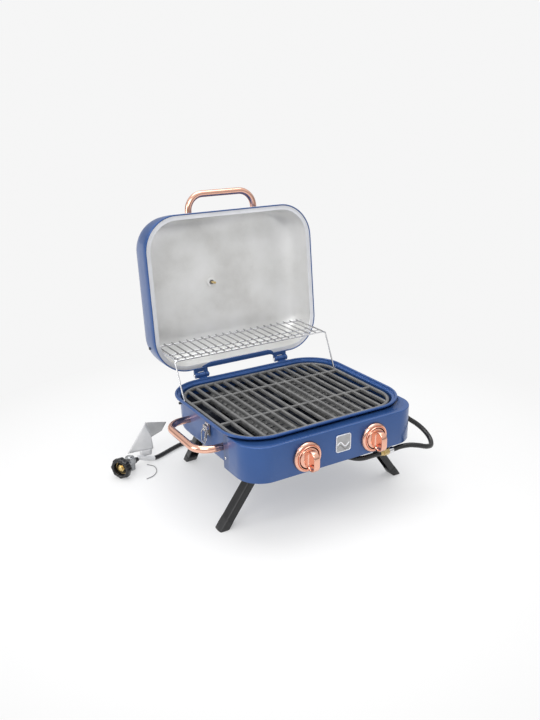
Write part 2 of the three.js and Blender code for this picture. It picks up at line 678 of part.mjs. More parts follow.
/** One leg hangs from its pin along -Z, then leans out about Y by the splay. */
function buildLeg(name, pivotX, pivotY, turn) {
  const leg = new THREE.Group();
  leg.position.set(pivotX, pivotY, LEG.pivotZ);
  leg.rotation.z = turn;
  const lean = new THREE.Group();
  lean.rotation.y = -LEG_SPLAY;
  leg.add(lean);
  grill.add(leg);

  const section = new THREE.Shape();
  const halfWidth = LEG_WIDTH / 2;
  const halfThick = LEG_THICK / 2;
  const round = 3.5;
  section.moveTo(-halfThick, -halfWidth);
  section.lineTo(halfThick - round, -halfWidth);
  section.quadraticCurveTo(halfThick, -halfWidth, halfThick, -halfWidth + round);
  section.lineTo(halfThick, halfWidth - round);
  section.quadraticCurveTo(halfThick, halfWidth, halfThick - round, halfWidth);
  section.lineTo(-halfThick, halfWidth);
  section.closePath();
  const reach = (LEG.pivotZ - FLOOR_Z) / Math.cos(LEG_SPLAY);
  const capLength = 26;
  const channel = slab(section, -reach + capLength, 11, 3);
  const hollow = box(-halfThick - 1, halfThick - 3, -halfWidth + 2, halfWidth - 2,
    -reach + capLength - 1, 12);
  const bore = rod('y', 3.3, -20, 20, 0, 0, 12);
  addPiece(`leg_${name}`, cut(channel, hollow, bore), blackPaint, lean);

  const cap = slab(section, -reach - 12, -reach + capLength - GAP, 3);
  const ground = box(-60, 60, -30, 30, -60, 0);
  ground.rotateY(LEG_SPLAY).translate(0, 0, -reach);
  addPiece(`foot_${name}`, cut(cap, ground), plastic, lean);
}

// ------------------------------------------------------------ hose, regulator
const COUPLING = { x0: 118, x1: 153, y: -202, z: -14 };
const REGULATOR = { x: -301, y: 231, z: FLOOR_Z + 26.3, turn: 35, nutEnd: 22 };

function buildHose() {
  const { x0, x1, y, z } = COUPLING;
  const inletX = HOUSING.width / 2 + 12 + 2 * GAP;
  addPiece('hose_inlet', sweep(curve([
    [inletX, INLET.y, INLET.z], [inletX + 5, INLET.y, INLET.z], [248, -147, 17],
    [261, -161, 6], [270, -178, -7], [270, -197, -19], [258, -214, -25], [238, -221, -21],
    [216, -219, -12.5], [196, -211, -9.5], [176, -204, -11.5], [x1 + 8, y, z], [x1 + 2 * GAP, y, z],
  ]), HOSE_RADIUS, 26, 8), rubber);
  addPiece('hose_coupling', join(
    rod('x', 7.5, x0 + 8, x0 + 23, y, z, 6),
    rod('x', 6, x0, x1, y, z, 12),
  ), brass);
  const ground = FLOOR_Z + HOSE_RADIUS + 1;
  const turn = THREE.MathUtils.degToRad(REGULATOR.turn);
  const outlet = [40, 32, REGULATOR.nutEnd + 2 * GAP].map((reach) => [
    REGULATOR.x + reach * Math.cos(turn), REGULATOR.y + reach * Math.sin(turn), REGULATOR.z - 8,
  ]);
  addPiece('hose_supply', sweep(curve([
    [x0 - 2 * GAP, y, z], [x0 - 9, y, z], [88, -203, -13.5], [70, -202, -13], [57, -195, -12.5],
    [46, -180, -12.5], [30, -160, -13], [12, -140, -13.5], [1, -118, -15], [0, -95, -21],
    [0, -60, -36], [-4, 0, -66], [-10, 60, -94], [-20, 120, -115], [-36, 180, ground],
    [-64, 240, ground], [-94, 278, ground], [-128, 291, ground], [-160, 282, ground],
    [-217, 257, ground], [-243, 255, ground + 3], ...outlet,
  ]), HOSE_RADIUS, 64, 8), rubber);
}

function buildRegulator() {
  const group = new THREE.Group();
  group.position.set(REGULATOR.x, REGULATOR.y, REGULATOR.z);
  group.rotation.z = THREE.MathUtils.degToRad(REGULATOR.turn);
  grill.add(group);
  const body = join(
    rod('x', 9, -14, 14, 0, 0, 14),                                      // barrel
    turnedZ([[0, -2], [8, -2], [11, 3], [11, 12], [6, 15], [0, 15]], 0, 0, 18), // bonnet
    turnedZ([[0, -24], [7, -24], [8.4, -21], [8.4, -1], [0, -1]], 7, 0, 16),    // lower cup
    rod('x', 7, 8, REGULATOR.nutEnd, 0, -8, 6),                                     // outlet nut
    rod('x', 6, -42, -12, 0, 0, 12),                                     // inlet stem
    rod('x', 11.5, -33, -29.6, 0, 0, 16),                                // stem collar
  );
  addPiece('regulator_body', body, zinc, group);
  const wheel = turnedZ([
    [7, 0], [19, 0], [26, 5], [26, 16], [22, 20], [17, 20], [15, 4], [7, 4], [7, 0],
  ], 0, 0, 16);
  wheel.rotateY(-Math.PI / 2).translate(-25, 0, 0);
  addPiece('regulator_handwheel', wheel, plastic, group);
}

function buildTag() {
  const folded = new THREE.Shape();
  folded.moveTo(-294, -101);
  folded.lineTo(-262, -102);
  folded.lineTo(-262, -117);
  folded.lineTo(-232, -117);
  folded.lineTo(-225, -104);
  folded.lineTo(-229, -72);
  folded.lineTo(-201, -62);
  folded.lineTo(-187, -41);
  folded.lineTo(-242, -29);
  folded.closePath();
  const sheet = slab(folded, 0, 1.4, 1).rotateX(Math.PI / 2).translate(0, 262, 0);
  addPiece('instruction_tag', sheet, paper);
  const ground = FLOOR_Z + 1.6;
  addPiece('tag_hook_wire', sweep(curve([
    [-254, 240, ground], [-243, 222, ground], [-247, 197, ground],
    [-264, 177, ground], [-284, 171, ground],
  ]), 1.2, 12, 6), steel);
}

// ---------------------------------------------------------------- the assembly
buildBowl();
buildHousing();
buildCarryHandle();
buildManifold();
buildGrate();
buildTray();
buildLid();
buildLidRearBar();
buildThermometer();
buildRack();
for (const side of [-1, 1]) {
  buildBurner(side);
  buildHeatTent(side);
  buildKnob(side);
  buildHinge(side);
  buildRackLeg(side);
  buildLatch(side);
}
buildLegRail('front_leg_rail', LEG.frontY, LEG.pivotX, 'y');
buildLegRail('rear_leg_rail', LEG.rearY, LEG.rearX, 'x');
buildLeg('front_left', -LEG.pivotX, LEG.frontY, Math.PI);
buildLeg('front_right', LEG.pivotX, LEG.frontY, 0);
buildLeg('rear_left', -LEG.rearX, LEG.rearY, Math.PI / 2);
buildLeg('rear_right', LEG.rearX, LEG.rearY, Math.PI / 2);
buildHose();
buildRegulator();
buildTag();

export default grill;
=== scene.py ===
"""Looks for the folding camp grill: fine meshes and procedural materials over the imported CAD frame.

Geometry helpers work in millimetres in the CAD frame; each finished piece is stored in metres.
"""

import math

import bmesh
import bpy
from mathutils import Matrix, Vector


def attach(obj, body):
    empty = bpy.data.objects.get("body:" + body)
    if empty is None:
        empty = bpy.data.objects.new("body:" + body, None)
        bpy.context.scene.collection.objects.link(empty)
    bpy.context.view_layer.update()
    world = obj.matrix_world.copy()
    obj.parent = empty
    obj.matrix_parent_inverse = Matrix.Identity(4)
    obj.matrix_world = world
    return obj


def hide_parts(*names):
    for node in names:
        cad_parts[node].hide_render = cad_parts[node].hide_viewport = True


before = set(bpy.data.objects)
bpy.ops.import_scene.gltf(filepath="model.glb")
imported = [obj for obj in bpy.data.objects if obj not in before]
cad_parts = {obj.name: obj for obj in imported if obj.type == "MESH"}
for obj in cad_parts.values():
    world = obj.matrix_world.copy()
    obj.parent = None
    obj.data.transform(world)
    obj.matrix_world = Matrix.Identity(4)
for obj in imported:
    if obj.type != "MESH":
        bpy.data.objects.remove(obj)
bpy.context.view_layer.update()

MM = 0.001
RIM_TOP = 88.0
BOWL_TOP = (428.0, 348.0, 79.0)       # outside of the bowl just under the rim
BOWL_FOOT = (422.0, 342.0, 76.0)      # outside of the bowl above its rounded bottom edge
BOWL_INSIDE = (418.0, 338.0, 74.0)    # inside of the bowl above its rounded bottom edge
BOWL_CORNER = 15.0                    # radius of the bowl's bottom edge
PANEL_Y = -211.0
KNOB_X = {"left": -83.0, "right": 90.0}
KNOB_Z = 37.0
INLET = (-138.0, 30.0)                # y and z of the gas inlet on the right-hand wall
HOUSING_LEFT, HOUSING_RIGHT = -217.0, 219.5
HOUSING_TOP, HOUSING_BACK = 79.0, -102.0
HOUSING_RADIUS = 57.0
HINGE = Vector((0.0, 201.0, 90.0))
HINGE_X = 113.0
FLOOR_Z = -133.0
PALE = (0.92, 0.92, 0.92)              # the backdrop's colour
LID_ANGLE = math.radians(-96.3)
LID_PLACE = Matrix.Translation(HINGE) @ Matrix.Rotation(LID_ANGLE, 4, "X")
LEG_SPLAY = math.radians(35.8)
X_AXIS, Y_AXIS, Z_AXIS = Vector((1, 0, 0)), Vector((0, 1, 0)), Vector((0, 0, 1))
SIDES = ((-1, "left"), (1, "right"))


# --------------------------------------------------------------------------- materials
class Nodes:
    """A short way to write a node tree."""

    def __init__(self, name):
        self.material = bpy.data.materials.new(name)
        self.material.use_nodes = True
        self.tree = self.material.node_tree
        self.bsdf = self.tree.nodes["Principled BSDF"]
        self.coords = self.add("ShaderNodeTexCoord").outputs["Object"]

    def add(self, kind, **values):
        node = self.tree.nodes.new(kind)
        for key, value in values.items():
            if hasattr(node, key):
                setattr(node, key, value)
            else:
                node.inputs[key.replace("_", " ")].default_value = value
        return node

    def link(self, output, target):
        self.tree.links.new(output, target)

    def noise(self, scale, detail=3.0, stretch=None):
        node = self.add("ShaderNodeTexNoise", Scale=scale, Detail=detail)
        if stretch is None:
            self.link(self.coords, node.inputs["Vector"])
        else:
            mapping = self.add("ShaderNodeMapping")
            mapping.inputs["Scale"].default_value = stretch
            self.link(self.coords, mapping.inputs["Vector"])
            self.link(mapping.outputs["Vector"], node.inputs["Vector"])
        return node.outputs["Fac"]

    def span(self, value, low, high, start=0.3, end=0.7):
        """Maps a texture value to a range of numbers."""
        node = self.add("ShaderNodeMapRange")
        self.link(value, node.inputs["Value"])
        for key, number in (("From Min", start), ("From Max", end), ("To Min", low), ("To Max", high)):
            node.inputs[key].default_value = number
        return node.outputs["Result"]

    def ramp(self, value, stops):
        node = self.add("ShaderNodeValToRGB")
        self.link(value, node.inputs["Fac"])
        elements = node.color_ramp.elements
        while len(elements) < len(stops):
            elements.new(0.5)
        for element, (position, colour) in zip(elements, stops):
            element.position = position
            element.color = (*colour, 1.0)
        return node.outputs["Color"]

    def bump(self, value, strength, distance=0.0005, after=None):
        node = self.add("ShaderNodeBump", Strength=strength, Distance=distance)
        self.link(value, node.inputs["Height"])
        if after is not None:
            self.link(after, node.inputs["Normal"])
        self.link(node.outputs["Normal"], self.bsdf.inputs["Normal"])
        return node.outputs["Normal"]

    def set(self, **values):
        for key, value in values.items():
            self.bsdf.inputs[key.replace("_", " ")].default_value = value
        return self


def surface(name, shade, dark, light, rough, low, high, bumps, **settings):
    """A material. shade and rough are noises as (scale, detail, stretch); bumps lie one over another."""
    n = Nodes(name)
    n.link(n.ramp(n.noise(*shade), [(0.3, dark), (0.7, light)]), n.bsdf.inputs["Base Color"])
    n.link(n.span(n.noise(*rough), low, high), n.bsdf.inputs["Roughness"])
    normal = None
    for scale, detail, strength, distance in bumps:
        normal = n.bump(n.noise(scale, detail), strength, distance, normal)
    n.set(**settings)
    return n.material


def chrome_plate(name="chrome_plate", low=0.08, high=0.2, colour=(0.80, 0.80, 0.82)):
    return surface(name, (30.0,), tuple(c * 0.9 for c in colour), colour, (200.0, 4.0), low, high,
                   [(700.0, 3.0, 0.05, 0.0002)], Metallic=1.0)


def black_coat(name, low, high, colour, bump=0.15, lighten=1.3):
    return surface(name, (60.0, 4.0), colour, tuple(c * lighten for c in colour), (90.0, 2.0), low, high,
                   [(1600.0, 3.0, bump, 0.0002)])


def paper(name, dark, light):
    return surface(name, (40.0, 5.0), dark, light, (300.0,), 0.55, 0.8, [(1200.0, 4.0, 0.2, 0.0003)])


def bare_aluminium():
    """The lid's bare lining: drawn sheet, mottled, with faint streaks."""
    n = Nodes("bare_aluminium")
    mottle = n.noise(9.0, 6.0)
    n.link(n.ramp(mottle, [(0.3, (0.68, 0.675, 0.66)), (0.5, (0.82, 0.82, 0.81)), (0.7, (0.90, 0.90, 0.90))]),
           n.bsdf.inputs["Base Color"])
    n.link(n.span(n.noise(60.0, 5.0), 0.36, 0.50), n.bsdf.inputs["Roughness"])
    streak = n.noise(5.0, 6.0, stretch=(40.0, 1.5, 1.5))
    first = n.bump(streak, 0.05, 0.0004)
    n.bump(n.noise(420.0, 3.0), 0.08, 0.0003, after=first)
    n.set(Metallic=0.6)
    return n.material


def glass():
    n = Nodes("lens_glass")
    n.link(n.span(n.noise(80.0), 0.01, 0.05), n.bsdf.inputs["Roughness"])
    n.set(Transmission_Weight=1.0, IOR=1.46)
    return n.material


BLUE = surface("blue_enamel", (9.0, 2.0), (0.024, 0.078, 0.245), (0.031, 0.092, 0.280), (60.0,), 0.30, 0.38,
               [(900.0, 2.0, 0.10, 0.0002)],
               Metallic=0.35, Coat_Weight=0.35, Coat_Roughness=0.10, Specular_IOR_Level=0.35)
COPPER = surface("copper_plate", (25.0, 2.0), (0.84, 0.46, 0.34), (0.89, 0.52, 0.40), (40.0, 2.0), 0.13, 0.19,
                 [(30.0, 1.0, 0.006, 0.0002)], Metallic=1.0)
CHROME = chrome_plate()
ALUMINIUM = bare_aluminium()
LIP_WHITE = chrome_plate("polished_lip", 0.30, 0.45, (0.90, 0.91, 0.95))
WHITE_ZINC = paper("white_zinc", (0.78, 0.78, 0.77), (0.86, 0.86, 0.85))
IRON = surface("cast_iron", (40.0, 6.0), (0.13, 0.13, 0.131), (0.20, 0.199, 0.197), (160.0, 4.0), 0.42, 0.62,
               [(650.0, 4.0, 0.35, 0.0005), (2400.0, 2.0, 0.15, 0.0002)], Metallic=0.35,
               Specular_IOR_Level=0.6)
# Near-black enamel; on the bowl's inside and on the burner ports this dark colour is painted shade.
DARK = surface("dark_enamel_and_painted_shade", (30.0, 5.0), (0.016, 0.019, 0.030), (0.034, 0.040, 0.058), (90.0,), 0.35, 0.6,
               [(500.0, 3.0, 0.2, 0.0004)])
STEEL = surface("plain_steel", (35.0, 5.0), (0.34, 0.34, 0.345), (0.50, 0.50, 0.505),
                (14.0, 5.0, (1.0, 30.0, 1.0)), 0.3, 0.5, [(800.0, 3.0, 0.08, 0.0002)], Metallic=0.95)
BRASS = surface("brass", (50.0,), (0.58, 0.42, 0.17), (0.72, 0.55, 0.27), (300.0, 3.0), 0.2, 0.38,
                [(900.0, 2.0, 0.08, 0.0002)], Metallic=1.0)
ZINC = chrome_plate("zinc_casting", 0.32, 0.5, (0.45, 0.46, 0.47))
WIRE = chrome_plate("rack_wire", 0.14, 0.26, (0.42, 0.42, 0.43))
DARK_STEEL = chrome_plate("dark_steel", 0.28, 0.42, (0.22, 0.22, 0.225))
GOLD = chrome_plate("gold_ring", 0.15, 0.25, (0.86, 0.62, 0.26))
# Burnt steel for the burners and flame tamers; the disc behind each knob uses it as painted shade.
BURNT_AND_SHADE = black_coat("burnt_steel_and_painted_shade", 0.40, 0.50, (0.085, 0.085, 0.084), 0.05, 1.25)
BLACK_PAINT = black_coat("black_paint", 0.30, 0.35, (0.010, 0.010, 0.011), 0.03)
PLASTIC = black_coat("black_plastic", 0.4, 0.55, (0.014, 0.014, 0.015), 0.35)
RUBBER = black_coat("hose_rubber", 0.24, 0.32, (0.012, 0.012, 0.013), 0.06)
PAPER = paper("paper", (0.66, 0.665, 0.67), (0.76, 0.76, 0.765))
# A darker copy of the paper: painted shade for the leaflet's folded flap.
SHADED_PAPER = paper("paper_painted_shade", (0.36, 0.365, 0.37), (0.46, 0.462, 0.465))
GLOSS_BLACK = black_coat("gloss_black", 0.14, 0.2, (0.008, 0.008, 0.009), 0.02)
GLASS = glass()


# ---------------------------------------------------------------------------- geometry
def rounded_rect(width, depth, radius, z, steps=12, centre_y=0.0):
    """One closed ring of points, counter-clockwise seen from above."""
    points = []
    cx, cy = width / 2 - radius, depth / 2 - radius
    for sx, sy, start in ((1, 1, 0), (-1, 1, 90), (-1, -1, 180), (1, -1, 270)):
        for i in range(steps + 1):
            a = math.radians(start + 90.0 * i / steps)
            points.append(Vector((sx * cx + radius * math.cos(a), centre_y + sy * cy + radius * math.sin(a),
                                  z)))
    return points


def inset(size, amount):
    return size[0] - 2 * amount, size[1] - 2 * amount, size[2] - amount


def filleted(points, radius, steps=8):
    """Straight runs joined by arcs of the given radius."""
    corners = [Vector(p) for p in points]
    path = [corners[0]]
    for before, corner, after in zip(corners, corners[1:], corners[2:]):
        a, b = (before - corner).normalized(), (after - corner).normalized()
        half = a.angle(b) / 2
        reach = min(radius / math.tan(half),
                    (before - corner).length * (0.95 if before == corners[0] else 0.49),
                    (after - corner).length * (0.95 if after == corners[-1] else 0.49))
        actual = reach * math.tan(half)
        centre = corner + (a + b).normalized() * (actual / math.sin(half))
        first, last = corner + a * reach - centre, corner + b * reach - centre
        for i in range(steps + 1):
            path.append(centre + first.normalized().slerp(last.normalized(), i / steps) * actual)
    path.append(corners[-1])
    return path


def spline(points, steps=10):
    """A smooth curve through the points, centripetal enough for evenly spaced points."""
    p = [Vector(q) for q in points]
    p = [p[0] * 2 - p[1]] + p + [p[-1] * 2 - p[-2]]
    path = []
    for a, b, c, d in zip(p, p[1:], p[2:], p[3:]):
        for i in range(steps):
            t = i / steps
            path.append(0.5 * (2 * b + (c - a) * t + (2 * a - 5 * b + 4 * c - d) * t * t
                               + (3 * b - a - 3 * c + d) * t ** 3))
    path.append(p[-2])
    return path


class Piece:
    """Gathers geometry in millimetres and turns it into one object that rides on a body."""

    def __init__(self, place=None):
        self.verts, self.faces, self.marks = [], [], []
        self.materials, self.current = [], 0
        self.place = place or Matrix.Identity(4)

    def paint(self, material):
        if material not in self.materials:
            self.materials.append(material)
        self.current = self.materials.index(material)
        return self

    def add(self, verts, faces, place=None):
        move = self.place @ place if place is not None else self.place
        base = len(self.verts)
        self.verts += [move @ Vector(v) for v in verts]
        self.faces += [[base + i for i in face] for face in faces]
        self.marks += [self.current] * len(faces)

    def loft(self, rings, caps=(True, True), closed=True, place=None):
        count = len(rings[0])
        faces = []
        for level in range(len(rings) - 1):
            for i in range(count if closed else count - 1):
                a, b = level * count + i, level * count + (i + 1) % count
                faces.append([a, b, b + count, a + count])
        if caps[0]:
            faces.append(list(range(count))[::-1])
        if caps[1]:
            faces.append(list(range((len(rings) - 1) * count, len(rings) * count)))
        self.add([p for ring in rings for p in ring], faces, place)

    def sweep(self, path, section, up=None, caps=(True, True), place=None):
        """Carries a closed section, in (side, up) pairs, along a path without twisting it."""
        tangents = []
        for i in range(len(path)):
            ahead = path[min(i + 1, len(path) - 1)] - path[max(i - 1, 0)]
            tangents.append(ahead.normalized())
        guide = Vector(up) if up else (Z_AXIS if abs(tangents[0].z) < 0.9 else Y_AXIS)
        normal = (guide - tangents[0] * guide.dot(tangents[0])).normalized()
        rings = []
        for i, (point, tangent) in enumerate(zip(path, tangents)):
            if i:
                turn = tangents[i - 1].rotation_difference(tangent)
                normal = turn @ normal
                normal = (normal - tangent * normal.dot(tangent)).normalized()
            side = tangent.cross(normal)
            rings.append([point + side * s + normal * u for s, u in section])
        self.loft(rings, caps, place=place)

    def tube(self, path, radius, sides=20, place=None):
        section = [(radius * math.cos(2 * math.pi * i / sides), radius * math.sin(2 * math.pi * i / sides))
                   for i in range(sides)]
        self.sweep([Vector(p) for p in path], section, place=place)

    def lathe(self, profile, origin=(0, 0, 0), axis="Z", steps=48, place=None):
        """Turns (radius, height) pairs about an axis through origin."""
        rings = []
        for radius, height in profile:
            ring = []
            for i in range(steps):
                a = 2 * math.pi * i / steps
                u, v = max(radius, 0.001) * math.cos(a), max(radius, 0.001) * math.sin(a)
                point = {"Z": (u, v, height), "Y": (v, height, u), "X": (height, u, v)}[axis]
                ring.append(Vector(point) + Vector(origin))
            rings.append(ring)
        self.loft(rings, (profile[0][0] > 0 and profile[0] != profile[-1],
                          profile[-1][0] > 0 and profile[0] != profile[-1]), place=place)

    def block(self, low, high, bevel=0.6, segments=2, place=None):
        """A box with rounded edges."""
        bm = bmesh.new()
        bmesh.ops.create_cube(bm, size=1.0)
        low, high = Vector(low), Vector(high)
        for v in bm.verts:
            v.co = Vector(((v.co[k] + 0.5) * (high[k] - low[k]) + low[k] for k in range(3)))
        if bevel:
            bmesh.ops.bevel(bm, geom=bm.edges[:], offset=bevel, segments=segments, profile=0.5,
                            affect="EDGES")
        bm.verts.index_update()
        self.add([v.co.copy() for v in bm.verts], [[v.index for v in f.verts] for f in bm.faces], place)
        bm.free()

    def done(self, name, body, slot, replaces=(), sharp=32.0, bevel=0.0, thick=0.0, fix=True):
        mesh = bpy.data.meshes.new(name)
        mesh.from_pydata([v * MM for v in self.verts], [], self.faces)
        for material in self.materials:
            mesh.materials.append(material)
        mesh.polygons.foreach_set("material_index", self.marks)
        if fix:
            bm = bmesh.new()
            bm.from_mesh(mesh)
            bmesh.ops.recalc_face_normals(bm, faces=bm.faces[:])
            bm.to_mesh(mesh)
            bm.free()
        mesh.polygons.foreach_set("use_smooth", [True] * len(mesh.polygons))
        mesh.set_sharp_from_angle(angle=math.radians(sharp))
        obj = bpy.data.objects.new(name, mesh)
        bpy.context.scene.collection.objects.link(obj)
        if thick:
            skin = obj.modifiers.new("skin", "SOLIDIFY")
            skin.thickness = thick * MM
            skin.offset = -1.0
        if bevel:
            edge = obj.modifiers.new("edge", "BEVEL")
            edge.width, edge.segments = bevel * MM, 2
            edge.limit_method, edge.angle_limit = "ANGLE", math.radians(40)
            edge.harden_normals = True
        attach(obj, body)
        if replaces:
            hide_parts(*replaces)
        return obj


# -------------------------------------------------------------------------------- bowl
def bowl():
    p = Piece().paint(BLUE)
    outside = []
    for k in range(8):
        a = math.radians(90.0 * k / 7)
        outside.append((*inset(BOWL_FOOT, BOWL_CORNER * (1 - math.sin(a))), BOWL_CORNER * (1 - math.cos(a))))
    outside += [
        (427.7, 347.7, 78.8, 78.0), (428.2, 348.2, 79.1, 80.4), (430.2, 350.2, 80.1, 81.7),
        (434, 354, 82, 82.1),
        (444, 364, 87, 82.1), (448, 368, 89, 82.7), (449.6, 369.6, 89.8, 84.0), (450, 370, 90, 85.6),
        (449.4, 369.4, 89.7, 87.0), (447.6, 367.6, 88.8, 87.9), (445, 365, 87.5, 88.0),
        (441.0, 361.0, 85.5, 88.0), (439.2, 359.2, 84.6, 87.5), (438.4, 358.4, 84.2, 86.4),
    ]
    rings = [rounded_rect(w, d, r, z, 14) for w, d, r, z in outside]
    p.loft(rings, (True, False))
    upper = [(438.4, 358.4, 84.2, 86.4), (437.8, 357.8, 83.9, 84.0), (435.6, 355.6, 82.8, 83.0),
             (427, 347, 78.5, 82.7),
             (424.2, 344.2, 77.1, 81.4), (422.4, 342.4, 76.2, 56)]
    p.loft([rounded_rect(w, d, r, z, 14) for w, d, r, z in upper], (False, False))
    # The bowl's inside and its two inner ledges are painted near-black: painted shade for blue enamel lying
    # in shade under the grate.
    p.paint(DARK)
    inside = [upper[-1], (*BOWL_INSIDE, 18)]
    for k in range(1, 7):
        a = math.radians(90.0 * k / 6)
        inside.append((*inset(BOWL_INSIDE, BOWL_CORNER * (1 - math.cos(a))), 18 - BOWL_CORNER * math.sin(a)))
    p.loft([rounded_rect(w, d, r, z, 14) for w, d, r, z in inside], (False, True))
    for side in (-1, 1):
        y0, y1 = sorted((side * 155.0, side * 171.0))
        p.block((-45, y0, 66.7), (45, y1, 71.6), 1.0)
    for sx in (-1, 1):
        p.paint(PLASTIC)
        p.lathe([(0, 213.2), (4.0, 213.2), (4.0, 215.0), (2.9, 215.6), (2.9, 222.4), (2.2, 223), (0, 223)],
                (0, 98, 76), "X", 20,
                Matrix.Scale(sx, 4, X_AXIS))
    p.done("bowl", "grill_body", "blue_paint", ["firebox_bowl"])


def housing():
    """The control housing: a folded sheet wrapped round the bowl's front, open underneath."""
    def outline(grow, steps=18):
        r = HOUSING_RADIUS + grow
        x0, x1, cy = HOUSING_LEFT + HOUSING_RADIUS, HOUSING_RIGHT - HOUSING_RADIUS, PANEL_Y + HOUSING_RADIUS
        points = [(x0 - r, HOUSING_BACK), (x0 - r, HOUSING_BACK - 26)]
        points += [(x0 - r * math.cos(math.radians(90 * i / steps)),
                    cy - r * math.sin(math.radians(90 * i / steps)))
                   for i in range(steps + 1)]
        points += [(x0 + (x1 - x0) * i / 12, cy - r) for i in range(1, 12)]
        points += [(x1 + r * math.sin(math.radians(90 * i / steps)),
                    cy - r * math.cos(math.radians(90 * i / steps)))
                   for i in range(steps + 1)]
        return points + [(x1 + r, HOUSING_BACK - 26), (x1 + r, HOUSING_BACK)]

    def bowl_edge(count, grow=0.35):
        """The bowl's outline from one end of the housing round the front to the other."""
        w, d, r = inset(BOWL_TOP, -grow)
        cx, cy = w / 2 - r, d / 2 - r
        start = math.asin(max(-1.0, min(1.0, (HOUSING_BACK + cy) / r)))
        arc, straight = (math.pi / 2 + start) * r, 2 * cx
        points = []
        for i in range(count):
            s = (2 * arc + straight) * i / (count - 1)
            if s < arc:
                a = math.pi - start + s / r
                points.append((-cx + r * math.cos(a), -cy + r * math.sin(a)))
            elif s < arc + straight:
                points.append((-cx + s - arc, -cy - r))
            else:
                a = 1.5 * math.pi + (s - arc - straight) / r
                points.append((cx + r * math.cos(a), -cy + r * math.sin(a)))
        return points

    p = Piece().paint(BLUE)
    top, curl = HOUSING_TOP, 1.8
    rows = []
    for grow, z in ((-1.6, 0.3), (-0.5, 0.0), (0, 0.9), (0, top - curl)):
        rows.append([Vector((x, y, z)) for x, y in outline(grow)])
    for k in range(1, 7):
        a = math.radians(90.0 * k / 6)
        rows.append([Vector((x, y, top - curl + curl * math.sin(a)))
                     for x, y in outline(-curl * (1 - math.cos(a)))])
    outer = outline(-curl - 0.5)
    rows.append([Vector((x, y, top)) for x, y in outer])
    inner = bowl_edge(len(outer))
    rows.append([Vector((x, y, top)) for x, y in inner])
    p.loft(rows, (False, False), closed=False)
    for x0, x1 in ((HOUSING_LEFT + 0.05, -214.6), (214.6, HOUSING_RIGHT - 0.05)):
        p.block((x0, HOUSING_BACK - 2.0, 0.2), (x1, HOUSING_BACK + 0.05, top - 0.3), 0.5)
    p.done("control_panel", "grill_body", "blue_paint", ["control_housing"], thick=1.6, fix=False)
    for sx, name in SIDES:
        away = Matrix.Translation((HOUSING_LEFT + 217 if sx < 0 else HOUSING_RIGHT - 217, 0, 0))
        s = Piece(away @ Matrix.Scale(sx, 4, X_AXIS)).paint(CHROME)
        s.lathe([(0, 217.3), (3.5, 217.3), (3.6, 217.8), (3.2, 218.9), (2.2, 219.6), (0.8, 219.8),
                 (0, 219.8)],
                (0, -112, 27), "X", 24)
        s.paint(PLASTIC)
        s.block((219.5, -114.2, 26.6), (219.95, -109.8, 27.4), 0.1, 1)
        s.block((219.5, -112.4, 24.8), (219.95, -111.6, 29.2), 0.1, 1)
        s.done(f"side_screw_{name}", "grill_body", "chrome", [f"housing_screw_{name}"])


def badge():
    """A plain name plate: a light border round a grey field with a wave on it."""
    turn = Matrix.Translation((9, PANEL_Y - 0.3, 44)) @ Matrix.Rotation(math.radians(90), 4, "X")
    p = Piece(turn).paint(LIP_WHITE)
    frame_rings = [(39, 40, 6, 0), (39, 40, 6, 1.4), (38.2, 39.2, 5.6, 2.2), (35.4, 36.4, 4.4, 2.2),
                   (34.6, 35.6, 4.0, 1.2)]
    p.loft([rounded_rect(w, d, r, z, 8) for w, d, r, z in frame_rings], (True, False))
    p.paint(STEEL)
    p.loft([rounded_rect(34.6, 35.6, 4.0, z, 8) for z in (1.2, 1.1)], (True, False))
    wave = [Vector((-15 + 30 * i / 16, -3 + 5.5 * math.sin(i * 0.42), 1.25)) for i in range(17)]
    p.paint(LIP_WHITE)
    p.sweep(wave, [(-1.4, 0), (1.4, 0), (0.9, 0.4), (-0.9, 0.4)], up=(0, 0, 1))
    p.paint(DARK_STEEL)
    low = [v + Vector((0, -7.0, 0)) for v in wave]
    p.sweep(low, [(-0.8, 0), (0.8, 0), (0.5, 0.3), (-0.5, 0.3)], up=(0, 0, 1))
    p.done("badge", "grill_body", "steel", ["badge_plate"])


